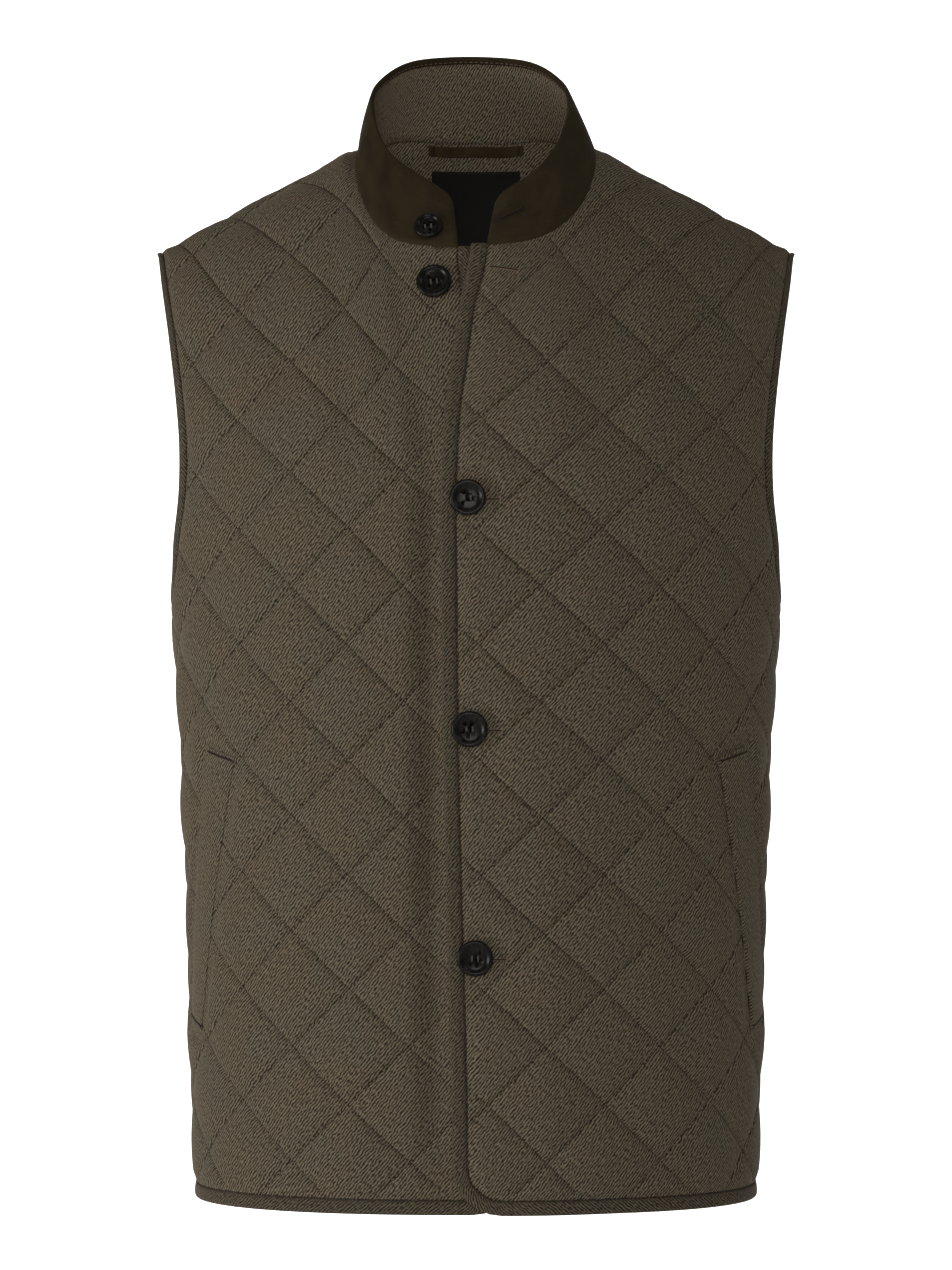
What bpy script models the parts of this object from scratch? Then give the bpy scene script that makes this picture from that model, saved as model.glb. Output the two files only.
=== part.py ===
"""Quilted wool vest with a stand collar, filled out as when worn.

Metres, +Z up, the front towards -Y and the wearer's left towards +X. The origin is midway between
the shoulders, at the height of the middle of the shoulder seams.

Each cut piece is drawn flat, as a pattern with s along the cloth and t up it, and is then laid on
the body form by Cut.point. What lies on a panel is made from that panel's own points.
"""
import math

import bmesh
import bpy
import numpy as np
from mathutils import Matrix, Vector
from mathutils.geometry import delaunay_2d_cdt

# Cloth and seams
GAP = 0.0003
WALL = 0.0018
PUFF = 0.0024
PUFF_POWER = 0.45
PUFF_FADE = 0.014
FRONT_BINDING = 0.0088
ARMHOLE_BINDING = 0.0080
BINDING_THICK = 0.0030
SECTION_STEP = 0.017

# Heights
HEM_Z = -0.636
ARMPIT_Z = -0.253
CHEST_Z = -0.215
BLADE_Z = -0.150
NECK_SIDE_Z = 0.0305

# Body form: the ring at each height is a rounded oblong
RING_POWER = 2.35
RING_STEPS = 161
SIDE_Y = 0.005
BODY = (
    # height, half_width, front_depth, back_depth
    (-0.680, 0.1755, 0.1140, 0.1100),
    (-0.560, 0.1790, 0.1170, 0.1105),
    (-0.440, 0.1820, 0.1205, 0.1105),
    (-0.330, 0.1865, 0.1240, 0.1125),
    (-0.253, 0.1925, 0.1265, 0.1150),
    (-0.170, 0.1985, 0.1265, 0.1170),
    (-0.035, 0.2100, 0.1240, 0.1180),
    (0.120, 0.2140, 0.1200, 0.1180),
)

# Shoulders and neck
RIDGE_Y = -0.008
ROLL_POWER = 1.25
SHOULDER_FALL = 0.5325
RIDGE_ROUND = 0.012
TIP_X = 0.2026
NECK_X = 0.0745
NECK_DROP = 0.0675
NECK_BACK = 0.076
BACK_RISE = 0.045
BACK_RISE_POWER = 1.3
NECK_SPACING = 1.5

# Armhole edges: how far the edge lies from the side seam, by its share of the armhole's height
ARMHOLE_FRONT = (
    # rise, reach
    (0.000, 0.0000),
    (0.012, 0.0180),
    (0.055, 0.0310),
    (0.140, 0.0405),
    (0.280, 0.0550),
    (0.430, 0.0605),
    (0.570, 0.0600),
    (0.720, 0.0560),
    (0.870, 0.0490),
)
ARMHOLE_BACK = (
    # rise, reach
    (0.000, 0.0000),
    (0.012, 0.0220),
    (0.055, 0.0400),
    (0.140, 0.0540),
    (0.280, 0.0670),
    (0.430, 0.0700),
    (0.570, 0.0660),
    (0.720, 0.0590),
    (0.870, 0.0480),
)

# Front edges: s is 0 on the line of buttons
LEFT_EXTENT = 0.0166
RIGHT_EXTENT = 0.0250
CORNER_RADIUS = 0.030
SWING_REACH = 0.105
SWING = (
    # height, left_front, right_front: how far the open neck swings each front out to its side
    (-0.680, 0.0030, -0.0030),
    (-0.565, 0.0018, -0.0018),
    (-0.440, -0.0013, 0.0013),
    (-0.318, -0.0038, 0.0038),
    (-0.256, -0.0044, 0.0044),
    (-0.170, -0.0042, 0.0050),
    (-0.130, -0.0015, 0.0100),
    (-0.098, 0.0030, 0.0165),
    (-0.066, 0.0070, 0.0235),
    (-0.028, 0.0141, 0.0270),
    (0.015, 0.0090, 0.0170),
    (0.060, 0.0, 0.0),
    (0.120, 0.0, 0.0),
)
OVERLAP_LIFT = 0.0037
OVERLAP_FULL = 0.032
OVERLAP_END = 0.095
UNDERLAP_FLAT = 0.024

# Quilting: squares on point, in the pattern
LATTICE_WIDTH = 0.0740
LATTICE_HEIGHT = 0.0712
FRONT_LATTICE = (0.0050, -0.0697)
BACK_LATTICE = (0.0, -0.0341)
OUTER_PARTS = 3
INNER_PARTS = 2
EDGE_MARGIN = 0.0055

# Collar
COLLAR_TOP_X = 0.064
COLLAR_TOP_SHIFT = -0.0036
COLLAR_TOP_Y = -0.0025
COLLAR_TOP_DEPTH = 0.0675
COLLAR_TOP = (
    # depth_y, height of the top edge
    (-0.0760, -0.0060),
    (-0.0670, 0.0030),
    (-0.0578, 0.0135),
    (-0.0506, 0.0205),
    (-0.0422, 0.0288),
    (-0.0300, 0.0415),
    (-0.0177, 0.0535),
    (-0.0025, 0.0655),
    (0.0164, 0.0764),
    (0.0304, 0.0838),
    (0.0404, 0.0896),
    (0.0508, 0.0950),
    (0.0660, 0.1000),
)
COLLAR_DRAW = {"left": 1.3, "right": 1.0}
COLLAR_CORNER = 0.0045
CORNER_REACH = 0.014
COLLAR_STATIONS = 9
COLLAR_CLOTH = 0.0013
COLLAR_THICK = 0.0030
COLLAR_TURN = 0.0050
COLLAR_ROUND = 0.0008
COLLAR_BOW = 0.0012
FACING_CLOTH = 0.0011

# Pocket welts
WELT_TOP = (0.149, -0.3536)
WELT_FOOT = (0.1715, -0.5277)
WELT_WIDTH = 0.0265
WELT_THICK = 0.0024
WELT_STEP = 0.030

# Neck label and hanger loop, on the inside of the back
LOOP_SIZE = (0.062, 0.0070)
LOOP_DROP = 0.0020
LOOP_THICK = 0.0014
LABEL_SIZE = (0.058, 0.058)
LABEL_DROP = 0.0190
LABEL_THICK = 0.0010

# Buttons: a turned profile with a raised rim, and four holes
BUTTON_SEAT = 0.0005
BUTTON_FLAT = 0.017
BUTTON_SIDES = 20
BUTTON_HEIGHT = 0.0042
BUTTON_PROFILE = (
    # radius, height, as shares of the button's own
    (0.60, 0.00),
    (0.88, 0.20),
    (1.00, 0.55),
    (0.96, 0.88),
    (0.86, 1.00),
    (0.72, 0.90),
    (0.58, 0.62),
)
HOLE_RADIUS = 0.0010
HOLE_SPACING = 0.0019
BUTTONS = (
    # name, front, height_t, diameter
    ("button_neck", "right", -0.0530, 0.0220),
    ("button_chest", "left", -0.1935, 0.0225),
    ("button_waist", "left", -0.3355, 0.0225),
    ("button_lower", "left", -0.4765, 0.0225),
)
COLLAR_BUTTON = 0.0180
COLLAR_BUTTON_INSET = 0.019
COLLAR_BUTTON_SHARE = 0.24

# Colours, as sRGB
WOOL = (0.290, 0.259, 0.216)
BIAS_WOOL = (0.270, 0.240, 0.200)
SUEDE_CLOTH = (0.190, 0.165, 0.120)
BLACK_SATIN = (0.080, 0.080, 0.080)
HORN = (0.120, 0.115, 0.110)

# Tables and curves


def curve(rows, at, column):
    """Smooth value of one column of a table, by cubics through its rows."""
    keys = np.array([row[0] for row in rows])
    values = np.array([row[column] for row in rows])
    slopes = np.gradient(values, keys)
    index = np.clip(np.searchsorted(keys, at) - 1, 0, len(keys) - 2)
    span = keys[index + 1] - keys[index]
    part = np.clip((at - keys[index]) / span, 0.0, 1.0)
    return hermite(part, values[index], values[index + 1],
                   slopes[index] * span, slopes[index + 1] * span)


def hermite(part, start, end, start_slope, end_slope):
    """Cubic from start to end with the given slopes."""
    square = part * part
    cube = square * part
    return ((2 * cube - 3 * square + 1) * start + (cube - 2 * square + part) * start_slope
            + (3 * square - 2 * cube) * end + (cube - square) * end_slope)


def fade(value, low, high):
    """Smooth step from 0 at low to 1 at high."""
    part = np.clip((value - low) / (high - low), 0.0, 1.0)
    return part * part * (3.0 - 2.0 * part)


def solve(rising, low, high):
    """Root of a rising function between two arrays of limits."""
    for _ in range(46):
        middle = (low + high) / 2
        above = rising(middle) > 0
        high = np.where(above, middle, high)
        low = np.where(above, low, middle)
    return (low + high) / 2


def steps(start, end, pitch):
    """Even values from start up to, but without, end."""
    count = max(2, round(abs(end - start) / pitch))
    return np.linspace(start, end, count, endpoint=False)


# Body form


def ring_table(level, from_back):
    """Points of the half ring at each level, and the cloth length up to each of them."""
    angle = np.linspace(0.0, math.pi, RING_STEPS)
    if from_back:
        angle = angle[::-1]
    x, y = ring_at(angle[None, :], level[:, None])
    length = np.hypot(np.diff(x, axis=1), np.diff(y, axis=1))
    total = np.concatenate([np.zeros((len(level), 1)), np.cumsum(length, axis=1)], axis=1)
    return angle, total


def ring_at(angle, level):
    """Point of the ring at an angle from the centre front."""
    half_width = curve(BODY, level, 1)
    front = curve(BODY, level, 2) + SIDE_Y
    back = curve(BODY, level, 3) - SIDE_Y
    cosine = np.cos(angle)
    depth = np.where(cosine > 0, -front, back)
    power = 2.0 / RING_POWER
    x = half_width * np.abs(np.sin(angle)) ** power
    y = SIDE_Y + depth * np.abs(cosine) ** power
    return x, y


def ring(length, level, from_back):
    """Point of the ring at a cloth length from the centre front or the centre back."""
    angle, total = ring_table(level, from_back)
    reach = np.abs(length)
    index = np.clip((total < reach[:, None]).sum(axis=1) - 1, 0, RING_STEPS - 2)
    row = np.arange(len(reach))
    span = total[row, index + 1] - total[row, index]
    part = (reach - total[row, index]) / span
    turn = angle[index] + part * (angle[index + 1] - angle[index])
    x, y = ring_at(turn, level)
    return np.where(length < 0, -x, x), y


def side_length(level, from_back):
    """Cloth length from the centre to the side seam."""
    _, total = ring_table(level, from_back)
    return total[:, RING_STEPS // 2]


def ridge_height(x, from_back):
    """Height of the top of the shoulder, which the back carries up to the nape."""
    reach = np.sqrt(x * x + RIDGE_ROUND ** 2) - math.hypot(NECK_X, RIDGE_ROUND)
    height = NECK_SIDE_Z - SHOULDER_FALL * reach
    if from_back:
        inside = np.clip(1.0 - (x / NECK_X) ** 4, 0.0, 1.0)
        height = height + BACK_RISE * inside ** BACK_RISE_POWER
    return height


def roll_length(rise, reach):
    """Length of a quarter ellipse."""
    ratio = ((rise - reach) / (rise + reach)) ** 2
    return math.pi / 4 * (rise + reach) * (1 + 3 * ratio / (10 + np.sqrt(4 - 3 * ratio)))


class Cut:
    """One cut panel, and how its flat pattern lies on the body form."""

    def __init__(self, from_back, side, extent=0.0, swing_column=None, lifted=False):
        self.from_back = from_back
        self.side = side
        self.out = -1 if from_back else side
        self.foot = BLADE_Z if from_back else CHEST_Z
        self.extent = extent
        self.swing_column = swing_column
        self.lifted = lifted

    def swing(self, s, t):
        """How far the cloth is drawn aside at the front opening."""
        if self.swing_column is None:
            return np.zeros_like(s)
        return curve(SWING, t, self.swing_column) * (1.0 - fade(s, 0.0, SWING_REACH))

    def lift(self, s):
        """Height over the body form: the top front passes over the one below it."""
        if not self.lifted:
            return np.zeros_like(s)
        return OVERLAP_LIFT * (1.0 - fade(s, OVERLAP_FULL, OVERLAP_END))

    def roll(self, s, t):
        """Ring point of a pattern point, with the rise and length of the roll above it."""
        x, y = ring(s, t, self.from_back)
        rise = ridge_height(x, self.from_back) - self.foot
        reach = np.abs(y - RIDGE_Y)
        return x, y, rise, reach, roll_length(rise, reach)

    def lay(self, s, t):
        """Place of a pattern point with the front hanging straight."""
        x, y, rise, reach, total = self.roll(s, t)
        part = np.clip((t - self.foot) / total, 0.0, 1.0)
        end_slope = np.minimum(total / reach, 2.8)
        turn = hermite(part, 0.0, math.pi / 2, total / rise, end_slope)
        bent = np.clip(np.cos(turn), 0.0, 1.0) ** ROLL_POWER
        y = np.where(part > 0, RIDGE_Y + (y - RIDGE_Y) * bent, y)
        z = np.where(part > 0, self.foot + rise * np.sin(turn), t)
        return np.stack([self.side * x, y, z], axis=1)

    def point(self, s, t):
        """Place of a pattern point on the body form."""
        return self.lay(s + self.swing(s, t), t)

    def normal(self, s, t):
        """Outward direction at a pattern point."""
        step = 0.0006
        along = self.point(s + step, t) - self.point(s - step, t)
        up = self.point(s, t) - self.point(s, t - 2 * step)
        across = np.cross(along, up) * self.out
        return across / np.linalg.norm(across, axis=1, keepdims=True)

    def top(self, s):
        """Pattern height of the shoulder seam."""
        t = np.full_like(s, NECK_SIDE_Z)
        for _ in range(12):
            t = self.foot + self.roll(s, t)[4]
        return t

    def s_at_width(self, x):
        """Pattern place on the shoulder seam with a given distance from the middle."""
        def wider(s):
            return self.roll(s, self.top(s))[0] - x
        return solve(wider, np.zeros_like(x), np.full_like(x, 0.30))

    def s_at_reach(self, reach, t):
        """Pattern place with a given depth before or behind the side seam."""
        sign = -1.0 if self.from_back else 1.0
        target = SIDE_Y - sign * reach

        def nearer(s):
            return sign * (self.roll(s, t)[1] - target)
        return solve(nearer, np.zeros_like(t), side_length(t, self.from_back))


FRONT_LEFT = Cut(False, 1, LEFT_EXTENT, 1, lifted=True)
FRONT_RIGHT = Cut(False, -1, RIGHT_EXTENT, 2)
BACK = Cut(True, 1)


# Pattern outlines, as runs of points that go round counterclockwise


def side_run(cut):
    """Side seam from the hem up to the armpit."""
    t = steps(HEM_Z, ARMPIT_Z, SECTION_STEP)
    return np.stack([side_length(t, cut.from_back), t], axis=1)


def armhole_run(cut):
    """Armhole edge from the armpit up to the shoulder tip."""
    rows = ARMHOLE_BACK if cut.from_back else ARMHOLE_FRONT
    tip_s = cut.s_at_width(np.array([TIP_X]))
    tip_t = cut.top(tip_s)
    rise = np.array([row[0] for row in rows])
    t = ARMPIT_Z + (tip_t[0] - ARMPIT_Z) * rise
    s = cut.s_at_reach(np.array([row[1] for row in rows]), t)
    knots = np.stack([np.append(s, tip_s), np.append(t, tip_t)], axis=1)
    return smooth_run(knots, SECTION_STEP)


def smooth_run(knots, pitch):
    """Even points, without the last, on a smooth curve through the knots."""
    length = np.append(0.0, np.cumsum(np.linalg.norm(np.diff(knots, axis=0), axis=1)))
    rows = [(key, *knot) for key, knot in zip(length, knots)]
    at = steps(0.0, length[-1], pitch)
    return np.stack([curve(rows, at, 1), curve(rows, at, 2)], axis=1)


def shoulder_run(cut):
    """Shoulder seam from the tip to the neck."""
    s = cut.s_at_width(steps(TIP_X, NECK_X, SECTION_STEP))
    return np.stack([s, cut.top(s)], axis=1)


def front_neck_run(cut):
    """Neckline from the shoulder seam to the front edge."""
    neck_s = cut.s_at_width(np.array([NECK_X]))[0]
    share = np.linspace(0.0, 1.0, COLLAR_STATIONS, endpoint=False) ** NECK_SPACING
    s = np.append(neck_s * np.cos(share * math.pi / 2), np.array([0.0, -cut.extent + FRONT_BINDING]))
    top = cut.top(s)

    def above(t):
        place = cut.lay(s, t)
        x = np.clip(cut.side * place[:, 0], 0.0, NECK_X)
        oval = NECK_SIDE_Z - NECK_DROP * np.sqrt(1.0 - (x / NECK_X) ** 2)
        return place[:, 2] - oval
    t = solve(above, np.full_like(s, CHEST_Z), top)
    t[0] = top[0]
    return np.stack([s, t], axis=1)


def back_neck_run():
    """Neckline of the right half of the back, from the shoulder seam to the middle."""
    neck_s = BACK.s_at_width(np.array([NECK_X]))[0]
    share = np.linspace(0.0, 1.0, COLLAR_STATIONS)
    s = neck_s * np.cos(share * math.pi / 2)
    top = BACK.top(s)

    def above(t):
        place = BACK.lay(s, t)
        x = np.clip(place[:, 0], 0.0, NECK_X)
        return RIDGE_Y + NECK_BACK * np.sqrt(1.0 - (x / NECK_X) ** 2) - place[:, 1]
    t = solve(above, np.full_like(s, BLADE_Z), top)
    t[0] = top[0]
    return np.stack([s, t], axis=1)


def front_outline(cut):
    """Whole outline of a front, with the kind of each stretch."""
    neck = front_neck_run(cut)
    edge_s = -cut.extent
    edge_t = steps(neck[-1, 1], HEM_Z + CORNER_RADIUS, SECTION_STEP)
    edge = np.stack([np.full_like(edge_t, edge_s), edge_t], axis=1)
    turn = steps(math.pi, 1.5 * math.pi, math.pi / 12)
    corner = np.stack([edge_s + CORNER_RADIUS * (1 + np.cos(turn)),
                       HEM_Z + CORNER_RADIUS * (1 + np.sin(turn))], axis=1)
    hem_end = side_length(np.array([HEM_Z]), False)[0]
    hem_s = steps(edge_s + CORNER_RADIUS, hem_end, SECTION_STEP)
    hem = np.stack([hem_s, np.full_like(hem_s, HEM_Z)], axis=1)
    return join_runs([("hem", hem), ("side", side_run(cut)), ("armhole", armhole_run(cut)),
                      ("shoulder", shoulder_run(cut)), ("neck", neck),
                      ("front", edge), ("front", corner)])


def back_outline():
    """Whole outline of the back: its right half, then the same mirrored."""
    hem_end = side_length(np.array([HEM_Z]), True)[0]
    hem_s = steps(-hem_end, hem_end, SECTION_STEP)
    hem = np.stack([hem_s, np.full_like(hem_s, HEM_Z)], axis=1)
    side, armhole, shoulder = side_run(BACK), armhole_run(BACK), shoulder_run(BACK)
    neck = back_neck_run()
    right = [("side", side), ("armhole", armhole), ("shoulder", shoulder), ("neck", neck[:-1])]
    left = []
    ends = [armhole[0], shoulder[0], neck[0], neck[-1]]
    for (kind, run), end in zip(right, ends):
        back_run = np.vstack([run[1:], end])[::-1] * (-1, 1)
        left.insert(0, (kind, back_run))
    return join_runs([("hem", hem)] + right + left)


def join_runs(runs):
    """Points of an outline and the kind of the edge that starts at each."""
    points = np.vstack([run for _, run in runs])
    kinds = [kind for kind, run in runs for _ in run]
    return points, kinds


def inset_outline(outline, distance):
    """Outline moved inwards, by the distance that each kind of edge is given."""
    points, kinds = outline
    following = np.roll(points, -1, axis=0)
    direction = following - points
    direction /= np.linalg.norm(direction, axis=1, keepdims=True)
    normal = np.stack([-direction[:, 1], direction[:, 0]], axis=1)
    amount = np.array([distance.get(kind, 0.0) for kind in kinds])
    moved = np.empty_like(points)
    for index in range(len(points)):
        lines = np.array([normal[index - 1], normal[index]])
        target = np.array([amount[index - 1], amount[index]])
        if abs(np.linalg.det(lines)) < 0.02:
            step = normal[index] * target.mean()
        else:
            step = np.linalg.solve(lines, target)
        moved[index] = points[index] + step
    return moved


PANEL_INSET = {"hem": FRONT_BINDING + GAP, "front": FRONT_BINDING + GAP, "side": GAP / 2,
               "armhole": ARMHOLE_BINDING + GAP, "shoulder": GAP / 2, "neck": GAP}
SEAM_INSET = {"side": GAP / 2, "shoulder": 0.0, "neck": GAP}


# Quilting


def quilting_points(origin, parts, box):
    """Points of the quilting squares, each side cut into parts, that lie in a box."""
    (low_s, low_t), (high_s, high_t) = box
    count = math.ceil((high_t - low_t) / LATTICE_HEIGHT + (high_s - low_s) / LATTICE_WIDTH) * parts
    across, down = np.meshgrid(np.arange(-count, count + 1), np.arange(-count, count + 1))
    s = origin[0] + (across + down).ravel() / parts * LATTICE_WIDTH / 2
    t = origin[1] + (across - down).ravel() / parts * LATTICE_HEIGHT / 2
    keep = (s > low_s) & (s < high_s) & (t > low_t) & (t < high_t)
    return np.stack([s[keep], t[keep]], axis=1)


def pillow(points, origin):
    """Height of the quilted squares: 0 on the sewn lines and 1 at the middles."""
    s = (points[:, 0] - origin[0]) / LATTICE_WIDTH
    t = (points[:, 1] - origin[1]) / LATTICE_HEIGHT
    return np.abs(np.sin(math.pi * (s + t)) * np.sin(math.pi * (s - t))) ** PUFF_POWER


def edge_distance(points, loop):
    """Distance of points from a closed line."""
    following = np.roll(loop, -1, axis=0)
    best = np.full(len(points), np.inf)
    for start, end in zip(loop, following):
        line = end - start
        part = np.clip((points - start) @ line / (line @ line), 0.0, 1.0)
        best = np.minimum(best, np.linalg.norm(points - start - part[:, None] * line, axis=1))
    return best


def inside(points, loop):
    """Which points lie inside a closed line."""
    result = np.zeros(len(points), dtype=bool)
    for start, end in zip(loop, np.roll(loop, -1, axis=0)):
        if start[1] == end[1]:
            continue
        crosses = (start[1] > points[:, 1]) != (end[1] > points[:, 1])
        at = start[0] + (points[:, 1] - start[1]) / (end[1] - start[1]) * (end[0] - start[0])
        result ^= crosses & (points[:, 0] < at)
    return result


def triangulate(boundary, patches, points):
    """Triangles over a flat pattern that keep its boundary and the outlines of its patches."""
    keep = inside(points, boundary) & (edge_distance(points, boundary) > EDGE_MARGIN)
    for loop in patches:
        keep &= edge_distance(points, loop) > EDGE_MARGIN
    flat = np.vstack([boundary] + patches + [points[keep]])
    edges = []
    start = len(boundary)
    for loop in patches:
        count = len(loop)
        edges += [(start + index, start + (index + 1) % count) for index in range(count)]
        start += count
    face = list(range(len(boundary)))
    found = delaunay_2d_cdt([Vector(point) for point in flat], edges, [face], 1, 1e-7)
    place = {new: old[0] for new, old in enumerate(found[3]) if old}
    triangles = [tuple(place[corner] for corner in triangle) for triangle in found[2]]
    return flat, triangles


# Solids


def colour(srgb):
    """Linear colour of an sRGB colour."""
    linear = [value / 12.92 if value < 0.04045 else ((value + 0.055) / 1.055) ** 2.4
              for value in srgb]
    return (*linear, 1.0)


def material(name, srgb, roughness):
    """Principled material of one cloth or finish."""
    finish = bpy.data.materials.new(name)
    finish.use_nodes = True
    shader = finish.node_tree.nodes["Principled BSDF"]
    shader.inputs["Base Color"].default_value = colour(srgb)
    shader.inputs["Roughness"].default_value = roughness
    return finish


def add_solid(name, points, faces, finish):
    """Closed solid from points and faces, with its faces turned outwards."""
    mesh = bpy.data.meshes.new(name)
    mesh.from_pydata([tuple(map(float, point)) for point in points], [], faces)
    form = bmesh.new()
    form.from_mesh(mesh)
    bmesh.ops.recalc_face_normals(form, faces=form.faces)
    form.to_mesh(mesh)
    form.free()
    mesh.materials.append(finish)
    solid = bpy.data.objects.new(name, mesh)
    bpy.context.scene.collection.objects.link(solid)
    return solid


def border(triangles):
    """Directed edges that only one triangle has."""
    edges = {(tri[index], tri[(index + 1) % 3]) for tri in triangles for index in range(3)}
    return [(start, end) for start, end in edges if (end, start) not in edges]


def slab(name, low, high, triangles, finish):
    """Solid between two copies of the same triangles."""
    used = sorted({corner for triangle in triangles for corner in triangle})
    place = {corner: index for index, corner in enumerate(used)}
    count = len(used)
    points = np.vstack([low[used], high[used]])
    faces = []
    for a, b, c in triangles:
        faces.append((place[c], place[b], place[a]))
        faces.append((place[a] + count, place[b] + count, place[c] + count))
    for start, end in border(triangles):
        a, b = place[start], place[end]
        faces.append((a, b, b + count, a + count))
    return add_solid(name, points, faces, finish)


def sweep(name, sections, closed, finish):
    """Solid through a row of like sections, capped at its ends unless it is closed."""
    rows = len(sections)
    width = len(sections[0])
    points = np.vstack(sections)
    faces = []
    for row in range(rows if closed else rows - 1):
        ahead = (row + 1) % rows
        for index in range(width):
            beside = (index + 1) % width
            far = ahead * width + beside
            faces.append((row * width + index, row * width + beside, far))
            faces.append((row * width + index, far, ahead * width + index))
    if not closed:
        faces.append(tuple(range(width))[::-1])
        faces.append(tuple((rows - 1) * width + index for index in range(width)))
    return add_solid(name, points, faces, finish)


class Panel:
    """Quilted panel: a plain inside and an outside raised between the sewn lines."""

    def __init__(self, name, cut, outline, lattice, outer_patches, inner_patches, flat_spots):
        self.cut = cut
        boundary = inset_outline(outline, PANEL_INSET)
        box = boundary.min(axis=0), boundary.max(axis=0)
        outer_points = quilting_points(lattice, OUTER_PARTS, box)
        inner_points = quilting_points(lattice, INNER_PARTS, box)
        self.outer_flat, self.outer_faces = triangulate(boundary, outer_patches, outer_points)
        self.inner_flat, self.inner_faces = triangulate(boundary, inner_patches, inner_points)
        flatten = fade(edge_distance(self.outer_flat, boundary), 0.0, PUFF_FADE)
        for loop in outer_patches:
            outside = np.where(inside(self.outer_flat, loop), 0.0, edge_distance(self.outer_flat, loop))
            flatten *= fade(outside, 0.0, PUFF_FADE)
        for spot in flat_spots:
            away = np.linalg.norm(self.outer_flat - spot, axis=1)
            flatten *= fade(away, BUTTON_FLAT, BUTTON_FLAT + PUFF_FADE)
        if cut is FRONT_RIGHT:
            flatten *= fade(self.outer_flat[:, 0], UNDERLAP_FLAT, UNDERLAP_FLAT + 2 * PUFF_FADE)
        height = WALL + PUFF * pillow(self.outer_flat, lattice) * flatten
        self.outer, self.outer_normal = self.surface(self.outer_flat, height)
        self.inner, self.inner_normal = self.surface(self.inner_flat, np.zeros(len(self.inner_flat)))
        self.add(name, len(boundary))

    def surface(self, flat, height):
        """Points over the body form, and the outward directions there."""
        s, t = flat.T
        normal = self.cut.normal(s, t)
        return self.cut.point(s, t) + normal * (self.cut.lift(s) + height)[:, None], normal

    def add(self, name, rim):
        """Joins the outside and the inside along the rim that they share."""
        start = len(self.outer)
        faces = list(self.outer_faces)
        faces += [tuple(corner + start for corner in face[::-1]) for face in self.inner_faces]
        faces += [(index, index + start, (index + 1) % rim + start, (index + 1) % rim)
                  for index in range(rim)]
        add_solid(name, np.vstack([self.outer, self.inner]), faces, WOOL_CLOTH)

    def patch(self, name, loop, thick, outwards, finish):
        """Flat piece that lies on the panel inside a closed line of its pattern."""
        if outwards:
            flat, faces, points, away = self.outer_flat, self.outer_faces, self.outer, self.outer_normal
        else:
            flat, faces, points, away = self.inner_flat, self.inner_faces, self.inner, -self.inner_normal
        middles = np.array([flat[list(face)].mean(axis=0) for face in faces])
        kept = [face for face, within in zip(faces, inside(middles, loop)) if within]
        return slab(name, points + away * GAP, points + away * (GAP + thick), kept, finish)


# Trims


def binding_sections(cut, outline, kinds, width):
    """Sections of a bias strip along the edges of the given kinds, in outline order."""
    edge = inset_outline(outline, SEAM_INSET)
    full = {**SEAM_INSET, **{kind: width for kind in kinds}}
    inner_edge = inset_outline(outline, full)
    points, kinds_at = outline
    bound = np.array([kind in kinds for kind in kinds_at])
    station = bound | np.roll(bound, 1)
    first = next(i for i in range(len(points)) if bound[i] and not bound[i - 1])
    order = [(first + index) % len(points) for index in range(len(points))]
    order = [index for index in order if station[index]]
    sections = []
    for index in order:
        sections.append(binding_section(cut, edge[index], inner_edge[index]))
    return sections


def binding_section(cut, edge, inner_edge):
    """Closed outline of a folded strip: rounded at the edge, thinner where it is sewn down."""
    profile = (
        # across, height, as shares
        (1.00, 0.00),
        (0.12, 0.00),
        (0.00, 0.40),
        (0.07, 0.86),
        (0.25, 1.00),
        (0.75, 1.00),
        (1.00, 0.70),
    )
    across = np.array([row[0] for row in profile])[:, None]
    height = np.array([row[1] for row in profile]) * BINDING_THICK
    flat = edge + across * (inner_edge - edge)
    s, t = flat.T
    lift = cut.lift(s) + height
    return cut.point(s, t) + cut.normal(s, t) * lift[:, None]


def armhole_binding(name, front, front_shape, mirror):
    """Closed ring round an armhole: the front's edge, then the back's."""
    before = binding_sections(front, front_shape, {"armhole"}, ARMHOLE_BINDING)
    behind = binding_sections(BACK, right_half(BACK_OUTLINE), {"armhole"}, ARMHOLE_BINDING)
    behind = [section * (mirror, 1, 1) for section in behind]
    sweep(name, before + behind[::-1][1:-1], True, BIAS_CLOTH)


def right_half(outline):
    """Outline with only its right armhole kept as an armhole."""
    points, kinds = outline
    kept = ["other" if kind == "armhole" and point[0] < 0 else kind
            for point, kind in zip(points, kinds)]
    return points, kept


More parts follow.
